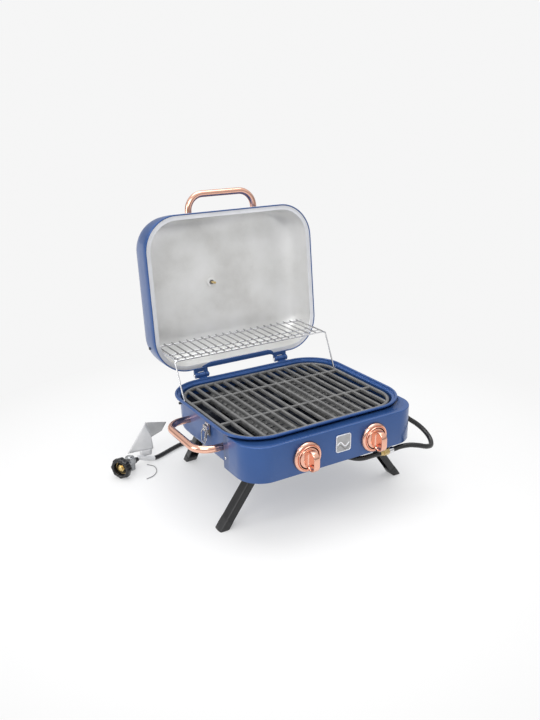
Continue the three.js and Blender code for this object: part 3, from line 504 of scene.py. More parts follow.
# ------------------------------------------------------------------------------- knobs
def knob(side, name):
    x = KNOB_X[name]
    body = "l" if side < 0 else "r"
    bezel = Piece().paint(COPPER)
    face = PANEL_Y - 0.3
    profile = [(24.4, 0), (24.4, -10.2), (24.8, -11.0), (25.6, -11.0), (26.1, -10.2), (26.4, -7.6),
               (26.9, -7.3),
               (27.3, -8.4), (28.2, -9.0), (29.8, -8.6), (31.4, -7.2), (32.6, -5.0), (33, -2.4), (33, -0.6),
               (32.6, 0)]
    bezel.lathe([(r, face + y) for r, y in profile] + [(24.4, face)], (x, 0, KNOB_Z), "Y", 96)
    # The dark disc filling the bezel's opening is painted shade for the gap round the knob.
    bezel.paint(BURNT_AND_SHADE)
    bezel.lathe([(24.5, face - 0.6), (0, face - 0.6)], (x, 0, KNOB_Z), "Y", 48)
    bezel.done(f"bezel_{name}", "grill_body", "copper_plate", [f"knob_bezel_{name}"])

    k = Piece(Matrix.Translation((x, 0, KNOB_Z))).paint(COPPER)
    back = PANEL_Y - 5
    k.lathe([(0, back), (21.6, back), (22.5, back - 0.8), (22.5, back - 5), (21.9, back - 6.3),
             (20.5, back - 7),
             (0, back - 7)], (0, 0, 0), "Y", 72)
    # The grip stands upright across the disc, with an oval hollow in each flank.
    flank = [(32.4, 17.4, 8.2, 20.5, 4.9), (34.6, 19.6, 9.2, 20.5, 5.2), (36.2, 21.2, 10.0, 20.5, 6.0),
             (36.9, 21.9, 10.3, 20.5, 6.8), (38.0, 23.0, 10.8, 20.4, 7.1), (42.4, 31.4, 14.7, 17.0, 7.0),
             (44.2, 33.2, 15.6, 17.0, 6.4), (45.0, 34.0, 16.0, 17.0, 5.2)]
    upright = Matrix.Translation((0, 0, -2)) @ Matrix.Rotation(math.radians(90), 4, "Y")
    grip = [rounded_rect(w, d, r, -x, 10, back - y) for w, d, r, y, x in flank]
    grip += [rounded_rect(w, d, r, x, 10, back - y) for w, d, r, y, x in reversed(flank)]
    k.loft(grip, place=upright)
    k.done(f"control_knob_{name}", f"knob_{body}", "copper_plate", [f"knob_{name}"], sharp=60)

    s = Piece(Matrix.Translation((x, 0, KNOB_Z))).paint(BRASS)
    s.lathe([(0, -231), (2.6, -231), (3, -230.6), (3, -196), (0, -196)], (0, 0, 0), "Y", 24)
    s.done(f"stem_{name}", f"stem_{body}", "brass", [f"valve_stem_{name}"])


# -------------------------------------------------------------------------- gas train
def gas_train():
    p = Piece().paint(BRASS)
    z = KNOB_Z - 16
    y, inlet = INLET
    p.tube(filleted([(KNOB_X["left"], -192, z), (150, -192, z), (203, -148, inlet), (214, y, inlet)], 14),
           5.0, 16)
    p.lathe([(0, 208), (6.2, 208), (6.6, 209), (6.6, 227), (5.8, 229), (0, 229)], (0, y, inlet), "X", 6)
    for x in KNOB_X.values():
        p.block((x - 10, -204, z - 2), (x + 10, -182, KNOB_Z + 10), 2.0)
        p.lathe([(0, -183), (4, -183), (4, -168.5), (3, -168), (0, -168)], (x, 0, KNOB_Z), "Y", 20)
    p.done("gas_pipe", "grill_body", "brass", ["gas_manifold"])
    for name, x in KNOB_X.items():
        b = Piece().paint(BURNT_AND_SHADE)
        b.lathe([(7.5, -140), (7.5, -171.6), (9, -171.6), (9, 139), (7, 140), (0, 140)], (x, 0, KNOB_Z),
                "Y", 28)
        # The burner ports are dark discs on the tube's flanks: painted shade standing for the holes.
        for k in range(11):
            for flank in (-1, 1):
                b.paint(DARK)
                b.lathe([(0, 8.6), (1.6, 8.6), (1.6, 9.15), (0, 9.15)], (0, -110 + 22 * k, 0), "X", 10,
                        Matrix.Translation((x, 0, KNOB_Z)) @ Matrix.Scale(flank, 4, X_AXIS))
        b.paint(BURNT_AND_SHADE)
        b.block((x - 12, 132, 3.4), (x + 12, 137.8, KNOB_Z - 5), 0.6)
        b.done(f"burner_tube_{name}", "grill_body", "steel", [f"burner_{name}"])

        h = Piece().paint(BURNT_AND_SHADE)
        half = 52.0
        for y0 in range(-140, 140, 20):
            slot_end = y0 + 20
            for a, b_ in (((-half, 50.0), (-half + 16, 64.0)), ((half - 16, 64.0), (half, 50.0)),
                          ((-half + 16, 64.0), (-20, 64.0)), ((20, 64.0), (half - 16, 64.0))):
                h.add([(x + a[0], y0, a[1]), (x + b_[0], y0, b_[1]), (x + b_[0], slot_end, b_[1]),
                       (x + a[0], slot_end, a[1])], [[0, 1, 2, 3]])
            h.add([(x - 20, y0, 64), (x + 20, y0, 64), (x + 20, y0 + 15, 64), (x - 20, y0 + 15, 64)],
                  [[0, 1, 2, 3]])
        h.done(f"flame_tamer_{name}", "grill_body", "cast_iron", [f"heat_tent_{name}"], thick=1.4, sharp=20)


def grate():
    """Cast bars from front to back in a rounded frame, tied by two cross bars."""
    p = Piece().paint(IRON)
    width, depth, radius, top, thick = 412.0, 334.0, 71.0, 80.0, 8.0
    rings = []
    for across, z in ((-1.6, -thick), (0.0, -thick + 1.4), (0.0, -1.6), (-1.4, -0.3), (-2.8, 0.0),
                      (-4.6, 0.0),
                      (-6.0, -0.5), (-7.0, -1.8), (-7.2, -thick + 1.4), (-6.0, -thick)):
        rings.append(rounded_rect(*inset((width, depth, radius), -across), top + z, 14))
    p.loft(rings + [rings[0]], (False, False))
    section = [(-2.3, -thick), (2.3, -thick), (3.3, -1.8), (2.7, -0.6), (1.6, 0.0), (-1.6, 0.0), (-2.7, -0.6),
               (-3.3, -1.8)]
    pitch = (width - 14) / 16
    for i in range(1, 16):
        x = -width / 2 + 7 + i * pitch
        past = max(0.0, abs(x) - (width / 2 - radius))
        reach = depth / 2 - radius + math.sqrt((radius - 5) ** 2 - past ** 2)
        path = [Vector((x, -reach + 2 * reach * k / 10, top)) for k in range(11)]
        p.sweep(path, section, up=(0, 0, 1))
    for y in (-58.0, 78.0):
        p.sweep([Vector((-width / 2 + 4 + (width - 8) * k / 16, y, top - 0.7)) for k in range(17)],
                [(-2.4, -7.0), (2.4, -7.0), (3.2, -1.6), (2.0, 0.0), (-2.0, 0.0), (-3.2, -1.6)], up=(0, 0, 1))
        for i in range(1, 16):
            x = -width / 2 + 7 + i * pitch
            p.lathe([(0, 1.2), (2.0, 1.0), (3.6, 0.2), (4.6, -1.2), (4.8, -5.0), (0, -5.0)], (x, y, top),
                    "Z", 14)
    p.done("grill_grate", "grate", "cast_iron", ["cooking_grate"], sharp=45)


# ------------------------------------------------------------------------------ handles
def grip_tube(points, bend, radius, place=None):
    p = Piece(place).paint(COPPER)
    p.tube(filleted(points, bend, 12), radius, 28)
    return p


def handles():
    side = grip_tube([(-211, -93, 45), (-270, -93, 45), (-270, 70, 45), (-211, 70, 45)], 38, 8)
    side.done("side_handle", "grill_body", "copper_plate", ["carry_handle"])
    lid = grip_tube([(-91, -385.5, 40), (-91, -427, 40), (87, -427, 40), (87, -385.5, 40)], 39, 8, LID_PLACE)
    lid.done("lid_grip", "lid", "copper_plate", ["lid_handle"])


# --------------------------------------------------------------------------------- lid
LID_SIZE = (452.0, 372.0, 84.0)
LID_TAPER = ((0.0, 0.0), (1.0, 20.0), (2.2, 38.0), (4.0, 55.0), (5.6, 66.0), (8.0, 75.0), (10.5, 80.2),
             (14.0, 83.8), (18.2, 86.4), (23.0, 88.3), (28.0, 89.4), (34.0, 90.0))


LINING_TAPER = ((0.0, 0.0), (1.0, 18.0), (2.4, 33.0), (4.6, 46.0), (7.8, 56.0), (12.0, 64.5), (17.5, 71.5),
                (24.5, 77.2), (33.0, 81.6), (43.0, 84.8), (54.0, 86.8), (66.0, 88.0))


def lid_rings(offset, first, tapers=LID_TAPER, steps=16):
    """The lid's form shrunk by an offset, in closed-lid hinge coordinates, from its mouth to its crown."""
    rings = []
    for taper, height in tapers:
        if height == 0.0:
            height = first
        z = RIM_TOP + 0.6 + min(height, 90.0 - offset * (height / 90.0))
        rings.append([q - HINGE for q in rounded_rect(*inset(LID_SIZE, taper + offset), z, steps)])
    return rings


def lid():
    p = Piece(LID_PLACE).paint(BLUE)
    outside = lid_rings(0.0, 0.0)
    bead = [[q - HINGE for q in rounded_rect(*inset(LID_SIZE, inward), RIM_TOP + 0.6 + z, 16)]
            for inward, z in ((3.2, 3.4), (3.2, 1.9), (2.9, 0.8), (2.2, 0.15), (1.3, 0.0), (0.5, 0.4),
                              (0.0, 1.4))]
    p.loft(bead + outside[1:], (False, True))
    for side in (-1, 1):
        p.paint(DARK)
        p.lathe([(0, 218.2), (3.4, 218.2), (3.4, 221.6), (2.4, 222.2), (0, 222.2)], (0, -76.7, 47.9), "X", 20,
                Matrix.Scale(side, 4, X_AXIS))
    p.done("lid_cover", "lid", "blue_paint", ["lid_shell"])

    q = Piece(LID_PLACE).paint(ALUMINIUM)
    lining = lid_rings(2.8, 2.4, LINING_TAPER)
    q.loft(lining[::-1], (True, False))
    q.paint(LIP_WHITE)
    lip = []
    for inward, z in ((3.0, 3.4), (11.8, 3.4), (12.8, 3.0), (13.2, 2.2), (12.8, 1.5), (11.8, 1.2), (3.2, 1.2),
                      (2.6, 2.0), (3.0, 3.4)):
        lip.append([v - HINGE for v in rounded_rect(*inset(LID_SIZE, inward), RIM_TOP + 0.6 + z, 16)])
    q.loft(lip, (False, False))
    q.done("lid_inside", "lid", "aluminium", ["lid_lining"], fix=False)


def rear_bar():
    """The rounded bar across the lid's rear edge, tapered at the left and curled in at the right."""
    p = Piece(LID_PLACE).paint(BLUE)
    stations = [(-114, -19.0, 1.2, 1.4), (-110, -19.4, 2.2, 2.2), (-102, -20.2, 3.8, 2.9),
                (-92, -21.2, 5.8, 3.2),
                (-84, -21.6, 6.5, 3.3), (0, -21.6, 6.5, 3.3), (78, -21.6, 6.5, 3.3), (86, -20.4, 6.3, 3.3),
                (91, -17.4, 5.4, 3.2), (95, -13.2, 4.2, 3.0), (98, -9.0, 3.0, 2.6), (99.4, -6.4, 1.6, 1.8)]
    rings = []
    for x, y, tall, deep in stations:
        ring = []
        for i in range(20):
            a = 2 * math.pi * i / 20
            c, s = math.cos(a), math.sin(a)
            ring.append(Vector((x, y + tall * math.copysign(abs(c) ** 0.6, c),
                                2.0 + deep * math.copysign(abs(s) ** 0.6, s))))
        rings.append(ring)
    p.loft(rings)
    p.done("lid_rear_edge", "lid", "blue_paint", ["lid_rear_bar"], sharp=60)


def thermometer():
    seat = 88.9
    x, y = -24.0, -208.0
    p = Piece(LID_PLACE).paint(COPPER)
    p.lathe([(26, seat), (27, seat), (29.4, seat + 1.4), (30, seat + 3.4), (30, seat + 10.6),
             (29.2, seat + 12.6),
             (27.4, seat + 13.8), (26.2, seat + 13.6), (25.4, seat + 12.4), (25.2, seat + 8)], (x, y, 0),
             "Z", 64)
    p.paint(PAPER)
    p.lathe([(25.3, seat + 8), (0, seat + 8)], (x, y, 0), "Z", 48)
    p.paint(PLASTIC)
    for k in range(28):
        a = math.radians(-135 + 10 * k)
        long = k % 3 == 0
        turn = Matrix.Translation((x, y, seat + 8.05)) @ Matrix.Rotation(-a, 4, "Z")
        p.block((-0.35, 18.5 if long else 20.5, 0), (0.35, 23.4, 0.15), 0.0, place=turn)
    p.paint(BRASS)
    p.lathe([(0, seat - 26), (2.6, seat - 26), (3, seat - 25), (3, seat), (0, seat)], (x, y, 0), "Z", 20)
    p.done("thermometer_dial", "lid", "copper_plate", ["thermometer_case"])
    lens = Piece(LID_PLACE).paint(GLASS)
    lens.lathe([(0, seat + 11.2), (25.1, seat + 11.2), (25.1, seat + 12.2), (16, seat + 13.1),
                (8, seat + 13.5),
                (0, seat + 13.6)], (x, y, 0), "Z", 48)
    lens.done("thermometer_lens", "lid", "copper_plate")
    n = Piece(LID_PLACE @ Matrix.Translation((x, y, seat + 9.4))).paint(PLASTIC)
    n.add([(-1.3, -5, 0), (1.3, -5, 0), (0.3, 18, 0), (-0.3, 18, 0), (-1.3, -5, 0.7), (1.3, -5, 0.7),
           (0.3, 18, 0.7), (-0.3, 18, 0.7)],
          [[0, 3, 2, 1], [4, 5, 6, 7], [0, 1, 5, 4], [1, 2, 6, 5], [2, 3, 7, 6], [3, 0, 4, 7]])
    n.lathe([(0, -0.7), (3, -0.7), (3, 1.0), (2, 1.4), (0, 1.4)], (0, 0, 0), "Z", 24)
    n.done("dial_needle", "gauge_needle", "black_plastic", ["thermometer_needle"])
    under = seat - 3.6
    w = Piece(LID_PLACE).paint(WHITE_ZINC)
    w.lathe([(3.4, under), (11.6, under), (12, under - 0.5), (11.8, under - 1.3), (11, under - 1.6),
             (6.2, under - 1.8)], (x, y, 0), "Z", 40)
    w.paint(DARK_STEEL)
    w.lathe([(6.2, under - 1.7), (6.2, under - 5.4), (5.4, under - 6.2), (3.4, under - 6.2)], (x, y, 0),
            "Z", 6)
    w.done("thermometer_fixing", "lid", "chrome", ["thermometer_nut"])


def hinges():
    for side, name in SIDES:
        x = side * HINGE_X
        b = Piece().paint(BLUE)
        b.lathe([(2.8, x - 8.4), (6.4, x - 8.4), (7, x - 7.8), (7, x + 7.8), (6.4, x + 8.4), (2.8, x + 8.4),
                 (2.8, x - 8.4)], (0, HINGE.y, HINGE.z), "X", 32)
        b.block((x - 8.4, 185.3, 80.2), (x + 8.4, HINGE.y, 87.4), 0.8)
        b.block((x - 18, 185.3, 72), (x + 18, 188.2, 87), 1.0)
        b.done(f"hinge_base_{name}", "grill_body", "blue_paint", [f"hinge_bracket_{name}"])
        e = Piece(LID_PLACE).paint(BLUE)
        for end in (-1, 1):
            x0, x1 = sorted((x + end * 9.0, x + end * 18.0))
            e.lathe([(2.8, x0), (6.4, x0), (7, x0 + 0.6), (7, x1 - 0.6), (6.4, x1), (2.8, x1), (2.8, x0)],
                    (0, 0, 0), "X", 32)
            e.block((x0, -14.7, 0.2), (x1, 0.5, 7.0), 0.7)
        e.block((x - 9.4, -14.7, 0.2), (x + 9.4, -7.7, 7.0), 0.5)
        e.block((x - 18, -14.7, 0.6), (x + 18, -12.8, 26), 0.7)
        e.done(f"hinge_strap_{name}", "lid", "blue_paint", [f"hinge_leaf_{name}"])
        s = Piece().paint(CHROME)
        s.lathe([(0, x - 21.5), (2.6, x - 21.4), (4.2, x - 20.6), (4.5, x - 19.4), (4.3, x - 18.5),
                 (2.5, x - 18.4),
                 (2.5, x + 20.4), (2.0, x + 21), (0, x + 21)], (0, HINGE.y, HINGE.z), "X", 28)
        s.done(f"hinge_rod_{name}", "grill_body", "chrome", [f"hinge_pin_{name}"])


# ------------------------------------------------------------------------ warming rack
def warming_rack():
    pivot = LID_PLACE @ Vector((0, -76.7, 47.9))
    y0, z = pivot.y, pivot.z
    front = y0 - 116
    p = Piece().paint(CHROME)
    p.tube([Vector((-221, y0, z)), Vector((221, y0, z))], 2.0, 14)
    p.tube(filleted([(-205, y0 + 4, z), (-206, front, z), (206, front, z), (205, y0 + 4, z)], 8), 2.0, 14)
    for y in (y0 - 72, y0 - 98):
        p.tube([Vector((-205, y, z)), Vector((205, y, z))], 1.6, 12)
    p.paint(WIRE)
    for i in range(21):
        x = -201 + 402 * i / 20
        p.tube([Vector((x, y, z + 2.6)) for y in (y0 + 5.0, y0 + 4.2, front - 0.6, front - 1.2)], 1.6, 10)
    p.done("rack", "rack", "chrome", ["warming_rack"])
    foot = Vector((0, 98, 76))
    for side, name in SIDES:
        x = side * 208.9
        path = filleted([(side * 203.0, front - 3.4, z + 0.6), (x, front - 1.0, z + 1.0), (x, foot.y, foot.z),
                         (side * 220, foot.y, foot.z)], 4.0, 8)
        leg = Piece().paint(CHROME)
        leg.tube(path, 1.8, 14)
        leg.done(f"rack_support_{name}", f"rack_leg_{'l' if side < 0 else 'r'}", "chrome",
                 [f"rack_leg_{name}"])


# ----------------------------------------------------------------------------- latches
def latches():
    y, pin_z, bail_z = -29.0, 66.0, 60.0
    wall = 214.3
    pin_x = wall + 6
    bail_x = pin_x + 2.6
    for side, name in SIDES:
        flip = Matrix.Scale(side, 4, X_AXIS)
        short = "l" if side < 0 else "r"
        b = Piece(flip).paint(DARK_STEEL)
        b.block((wall, y - 9, 46), (wall + 1.6, y + 9, 76), 0.7, 3)
        b.paint(CHROME)
        b.block((wall + 1.4, y - 6.5, 70), (wall + 4.6, y + 6.5, 76.4), 1.2, 3)
        for end in (-1, 1):
            b.block((wall + 1, y + end * 7 - 1, pin_z - 4.2), (pin_x + 3, y + end * 7 + 1, pin_z + 4.2),
                    0.7, 3)
        b.lathe([(0, y - 8.8), (2.0, y - 8.8), (2.0, y - 8), (1.2, y - 8), (1.2, y + 8), (2.0, y + 8),
                 (2.0, y + 8.8),
                 (0, y + 8.8)], (pin_x, 0, pin_z), "Y", 16)
        for z in (49, 55):
            b.lathe([(0, wall + 1.4), (2.6, wall + 1.5), (2.2, wall + 2.3), (1.0, wall + 2.7),
                     (0, wall + 2.7)],
                    (0, y, z), "X", 16)
        b.done(f"latch_plate_{name}", "grill_body", "chrome", [f"latch_base_{name}"])
        v = Piece(flip).paint(DARK_STEEL)
        spine = [(pin_x, pin_z), (pin_x + 0.5, 58), (pin_x + 0.3, 50), (pin_x + 0.2, 44), (pin_x + 0.6, 40)]
        path = spline([(px, y, pz) for px, pz in spine], 5)
        v.sweep(path, [(-4, -1), (4, -1), (4, 1), (-4, 1)], up=(1, 0, 0))
        v.paint(CHROME)
        lip = spline([(pin_x + 0.6, y, 41), (pin_x + 1.0, y, 38), (pin_x + 2.6, y, 36),
                      (pin_x + 5, y, 35.4)], 5)
        v.sweep(lip, [(-5.4, -1), (5.4, -1), (5.4, 1), (-5.4, 1)], up=(1, 0, 0))
        v.lathe([(1.5, y - 5), (3.2, y - 5), (3.2, y + 5), (1.5, y + 5), (1.5, y - 5)], (pin_x, 0, pin_z),
                "Y", 20)
        v.lathe([(1.5, y - 5), (2.8, y - 5), (2.8, y + 5), (1.5, y + 5), (1.5, y - 5)], (bail_x, 0, bail_z),
                "Y", 20)
        v.done(f"latch_arm_{name}", f"lever_{short}", "chrome", [f"latch_lever_{name}"], bevel=0.3)
        w = Piece(flip).paint(WIRE)
        hang, half = bail_x + 3.6, 8.6
        w.tube(filleted([(bail_x, y - half, bail_z), (hang, y - half, bail_z - 8), (hang, y - half, 32),
                         (hang, y + half, 32), (hang, y + half, bail_z - 8), (bail_x, y + half, bail_z)],
                         3), 1.2, 10)
        w.tube([Vector((bail_x, y - half - 0.6, bail_z)), Vector((bail_x, y + half + 0.6, bail_z))], 1.2, 10)
        w.done(f"latch_wire_{name}", f"bail_{short}", "chrome", [f"latch_bail_{name}"])


# -------------------------------------------------------------------------------- legs
def leg_rails():
    for name, y, half, across in (("front_leg_rail", -117.0, 154.0, "Y"),
                                  ("rear_leg_rail", 130.0, 151.0, "X")):
        p = Piece().paint(BLACK_PAINT)
        p.block((-half, y - 6, -2.3), (half, y + 6, -0.3), 0.5)
        for side in (-1, 1):
            cx = side * half
            p.block((cx - 20, y - 16, -2.3), (cx + 20, y + 16, -0.3), 0.5)
            for end in (-16, 16):
                if across == "Y":
                    p.block((cx - 7, y + end - 1, -27), (cx + 7, y + end + 1, -0.4), 0.7)
                else:
                    p.block((cx + end - 1, y - 7, -27), (cx + end + 1, y + 7, -0.4), 0.7)
            origin = (cx, 0, -20) if across == "Y" else (0, y, -20)
            middle = y if across == "Y" else cx
            p.paint(STEEL)
            p.lathe([(0, middle - 18.5), (3, middle - 18.3), (4, middle - 17.5), (3, middle - 17.2),
                     (3, middle + 17.2), (4, middle + 17.5), (3, middle + 18.3), (0, middle + 18.5)],
                    origin, across, 20)
            p.paint(BLACK_PAINT)
        p.done(f"{name}_steel", "grill_body", "black_paint", [name])


LEG_HALF, LEG_DEEP = 13.5, 8.5         # half the leg's width and half its thickness


def leg_outline(grow, corner=3.2, bulge=0.7):
    """The leg's outside: flat flanges, rounded outer corners and a slightly bowed outer face."""
    half, deep = LEG_HALF + grow, LEG_DEEP + grow
    points = [(-deep, -half + 0.8), (-deep + 0.8, -half)]
    for start in (-90, 0):
        for i in range(6):
            a = math.radians(start + 90 * i / 5)
            side = -1 if start < 0 else 1
            points.append((deep - bulge - corner + corner * math.cos(a),
                           side * (half - corner) + corner * math.sin(a)))
        if start < 0:
            for i in range(1, 8):
                t = -1 + i / 4
                points.append((deep - bulge * t * t, t * (half - corner)))
    return points + [(-deep + 0.8, half), (-deep, half - 0.8)]


def legs():
    reach = 113.0 / math.cos(LEG_SPLAY)
    cap = 26.0
    places = {
        "front_left": ((-154, -117), 180.0), "front_right": ((154, -117), 0.0),
        "rear_left": ((-151, 130), 90.0), "rear_right": ((151, 130), 90.0),
    }
    wall = 1.8
    inner = [(u - wall if u > 0 else u, max(-LEG_HALF + wall, min(LEG_HALF - wall, v)))
             for u, v in leg_outline(0.0, 3.2, 0.7)[2:-2]]
    channel = leg_outline(0.0) + [(-LEG_DEEP, LEG_HALF - wall)] + inner[::-1] + [(-LEG_DEEP,
                                                                                  -LEG_HALF + wall)]
    for name, ((x, y), turn) in places.items():
        place = (Matrix.Translation((x, y, -20)) @ Matrix.Rotation(math.radians(turn), 4, "Z")
                 @ Matrix.Rotation(-LEG_SPLAY, 4, "Y"))
        p = Piece(place).paint(BLACK_PAINT)
        p.loft([[Vector((u, v, h)) for u, v in channel] for h in (-reach + cap - 4, 11)])
        p.done(f"leg_tube_{name}", f"{name}_leg", "black_paint", [f"leg_{name}"], sharp=40)

        f = Piece(place).paint(PLASTIC)
        rings = []
        for h, grow in ((-reach + cap - 0.4, 0.0), (-reach + cap - 0.8, 0.35), (-reach + cap - 8, 0.4),
                        (-reach + 12, 0.5), (-reach + 9.4, 0.5)):
            rings.append([Vector((u, v, h)) for u, v in leg_outline(grow)])
        for grow, lift in ((0.3, 1.2), (-0.4, 0.05)):
            rings.append([Vector((u, v, -reach - u * math.tan(LEG_SPLAY) + lift)) for u,
                          v in leg_outline(grow)])
        f.loft(rings)
        f.done(f"leg_foot_{name}", f"{name}_leg", "black_plastic", [f"foot_{name}"], sharp=50)


# ------------------------------------------------------------------- hose and regulator
HOSE_RADIUS = 5.6
COUPLING_Y, COUPLING_Z = -202.0, -14.0
REGULATOR = Vector((-301.0, 231.0, FLOOR_Z + 26.3))
REGULATOR_PLACE = Matrix.Translation(REGULATOR) @ Matrix.Rotation(math.radians(35), 4, "Z")


def hose():
    y, z = COUPLING_Y, COUPLING_Z
    p = Piece().paint(RUBBER)
    p.tube(spline([
        (229.6, *INLET), (235, *INLET), (248, -147, 17), (261, -161, 6), (270, -178, -7), (270, -197, -19),
        (258, -214, -25), (238, -221, -21), (216, -219, -13.5), (196, -211, -10.5), (176, -204, -12),
        (161, y, z),
        (150, y, z)], 12), HOSE_RADIUS, 24)
    p.done("hose_short", "grill_body", "rubber", ["hose_inlet"])
    c = Piece().paint(CHROME)
    c.lathe([(6.0, 154), (6.9, 153.4), (7.3, 151), (7.3, 141.6), (6.8, 140.6)], (0, y, z), "X", 32)
    c.paint(BRASS)
    c.lathe([(4, 141.4), (8, 141.4), (8.2, 140.4), (8.2, 127), (8, 126), (4, 126)], (0, y, z), "X", 6)
    c.lathe([(6.4, 126.4), (6.6, 125.4), (6.6, 119), (6.0, 118), (4, 118)], (0, y, z), "X", 32)
    c.done("hose_joint", "grill_body", "brass", ["hose_coupling"])
    ground = FLOOR_Z + HOSE_RADIUS + 0.2
    outlet = [REGULATOR_PLACE @ Vector((reach, 0, -8)) for reach in (40, 30, 20)]
    supply = spline([
        (121, y, z), (109, y, z), (88, -203, -13.5), (70, -202, -13.2), (57, -195, -13), (46, -180, -13),
        (30, -160, -13.4), (12, -140, -14), (1, -118, -15.5), (0, -95, -21), (0, -60, -36), (-4, 0, -66),
        (-10, 60, -94), (-20, 120, -115), (-36, 180, ground), (-64, 240, ground), (-94, 278, ground),
        (-128, 291, ground), (-160, 282, ground), (-217, 257, ground), (-243, 255, ground + 3), *outlet], 12)
    s = Piece().paint(RUBBER)
    s.tube(supply, HOSE_RADIUS, 24)
    s.done("hose_long", "grill_body", "rubber", ["hose_supply"])
    strip = Piece().paint(PAPER)
    wrapped = [q for q in supply if -276 < q.x < -226]
    strip.tube(wrapped, HOSE_RADIUS + 0.6, 24)
    strip.done("hose_label", "grill_body", "paper")


def regulator():
    p = Piece(REGULATOR_PLACE).paint(ZINC)
    p.lathe([(0, -14), (8, -14), (9, -13), (9, 13), (8, 14), (0, 14)], (0, 0, 0), "X", 32)
    p.lathe([(0, -2), (8, -2), (10, 0), (11, 3), (11.4, 5), (11.4, 10), (10.8, 12.4), (9.4, 13.4),
             (8.4, 13.2),
             (7.8, 12.2), (6.4, 12.2), (5.8, 13.6), (5.0, 14.6), (2.4, 15), (0, 15)], (0, 0, 0), "Z", 48)
    ribs = [(0, -25.4), (6.0, -25.4), (7.0, -24.6)]
    for k in range(6):
        level = -23.6 + 3.6 * k
        ribs += [(8.5, level), (8.5, level + 1.8), (7.5, level + 2.3), (7.5, level + 3.1)]
    p.lathe(ribs + [(7.5, -1), (0, -1)], (7, 0, 0), "Z", 32)
    p.paint(CHROME)
    p.lathe([(0, 8), (7.2, 8), (7.2, 15), (6.4, 16), (0, 16)], (0, 0, -8), "X", 6)
    p.paint(PLASTIC)
    p.lathe([(0, 15), (6.2, 15), (6.6, 16), (6.6, 22), (0, 22)], (0, 0, -8), "X", 24)
    p.paint(BRASS)
    p.lathe([(0, -42), (4.4, -42), (6, -40.8), (6, -14), (0, -14)], (0, 0, 0), "X", 28)
    p.lathe([(0, -38), (8.8, -38), (9.6, -37.2), (9.6, -33), (8.8, -32), (0, -32)], (0, 0, 0), "X", 6)
    p.done("regulator", "grill_body", "zinc", ["regulator_body"])

    w = Piece(REGULATOR_PLACE).paint(GLOSS_BLACK)
    steps = 128
    rings = []
    for radius, x in ((7, -25), (18, -25), (22.4, -26.6), (25.2, -29.4), (26, -32.5), (26, -40), (25, -43.0),
                      (22.4, -44.8), (19.4, -45), (17.4, -44.4), (16.4, -43), (15.6, -30), (14.6, -29),
                      (7, -29),
                      (7, -25)):
        ring = []
        for i in range(steps):
            a = 2 * math.pi * i / steps
            lobe = 0.07 * max(0.0, math.cos(a * 8)) ** 0.8 - 0.05 if radius > 22 else 0.0
            reach = min(26.6, radius * (1.0 + lobe))
            ring.append(Vector((x, reach * math.cos(a), reach * math.sin(a))))
        rings.append(ring)
    w.loft(rings, (False, False))
    w.paint(GOLD)
    w.lathe([(15.9, -33.4), (14.9, -33.2), (14.9, -31.6), (15.9, -31.4), (15.9, -33.4)], (0, 0, 0), "X", 48)
    w.done("regulator_wheel", "handwheel", "black_plastic", ["regulator_handwheel"], sharp=40)


def tag():
    """A folded leaflet standing behind the hose, with the wire that ties it lying beside it."""
    p = Piece().paint(PAPER)

    def sheet(corners, bulge, steps=10):
        a, b, c, d = [Vector(q) for q in corners]
        normal = (b - a).cross(d - a).normalized()
        verts = []
        for i in range(steps + 1):
            for j in range(steps + 1):
                u, v = i / steps, j / steps
                flat = (a * (1 - u) + b * u) * (1 - v) + (d * (1 - u) + c * u) * v
                verts.append(flat + normal * bulge * math.sin(math.pi * u) * math.sin(math.pi * v))
        faces = [[i * (steps + 1) + j, (i + 1) * (steps + 1) + j, (i + 1) * (steps + 1) + j + 1,
                  i * (steps + 1) + j + 1] for i in range(steps) for j in range(steps)]
        p.add(verts, faces)

    y = 262.5
    sheet([(-294, y, -101), (-225, y, -104), (-229, y, -72), (-242.5, y, -29)], 1.6)
    sheet([(-262, y, -119), (-232, y, -119), (-228, y, -103.6), (-262, y, -102.4)], 0.0, 4)
    # The top flap lies flat in the leaflet's plane and is painted darker: painted shade for the fold.
    p.paint(SHADED_PAPER)
    sheet([(-229, y, -72), (-200.6, y, -62), (-186.5, y, -41), (-242.5, y, -29)], -1.2)
    p.done("leaflet", "grill_body", "paper", ["instruction_tag"], thick=0.5, fix=False)
    w = Piece().paint(STEEL)
    ground = FLOOR_Z + 1.4
    w.tube(spline([(-254, 240, ground), (-243, 222, ground), (-247, 197, ground), (-264, 177, ground),
                   (-284, 171, ground)], 8), 1.1, 10)
    w.done("tie_wire", "grill_body", "steel", ["tag_hook_wire"])


def tray():
    c = Piece().paint(STEEL)
    for side in (-1, 1):
        x0, x1 = sorted((side * 66.0, side * 68.0))
        c.block((x0, 10, -17), (x1, 158, -2.6), 0.5)
        x0, x1 = sorted((side * 59.0, side * 67.0))
        c.block((x0, 10, -17), (x1, 158, -15.6), 0.4)
    c.block((-67, 10, -4.6), (67, 14, -2.6), 0.5)
    c.done("tray_runners", "grill_body", "steel", ["tray_carrier"])
    t = Piece().paint(STEEL)
    rings = [(119, 147, 5, -14.6), (122, 150, 6, -13.4), (122, 150, 6, -5.2), (118, 146, 5, -5.2),
             (118, 146, 5, -12.6), (115, 143, 4, -13.2)]
    t.loft([rounded_rect(w, d, r, z, 6, 91) for w, d, r, z in rings])
    for side in (-1, 1):
        x0, x1 = sorted((side * 60.0, side * 64.8))
        t.block((x0, 16, -15.2), (x1, 166, -13.6), 0.4)
    t.block((-30, 164, -12), (30, 176, -10), 0.6)
    t.done("drip_tray", "tray", "steel", ["grease_tray"])


bowl()
housing()
badge()
for side, name in SIDES:
    knob(side, name)
gas_train()
grate()
handles()
lid()
rear_bar()
thermometer()
hinges()
warming_rack()
latches()
leg_rails()
legs()
hose()
regulator()
tag()
tray()


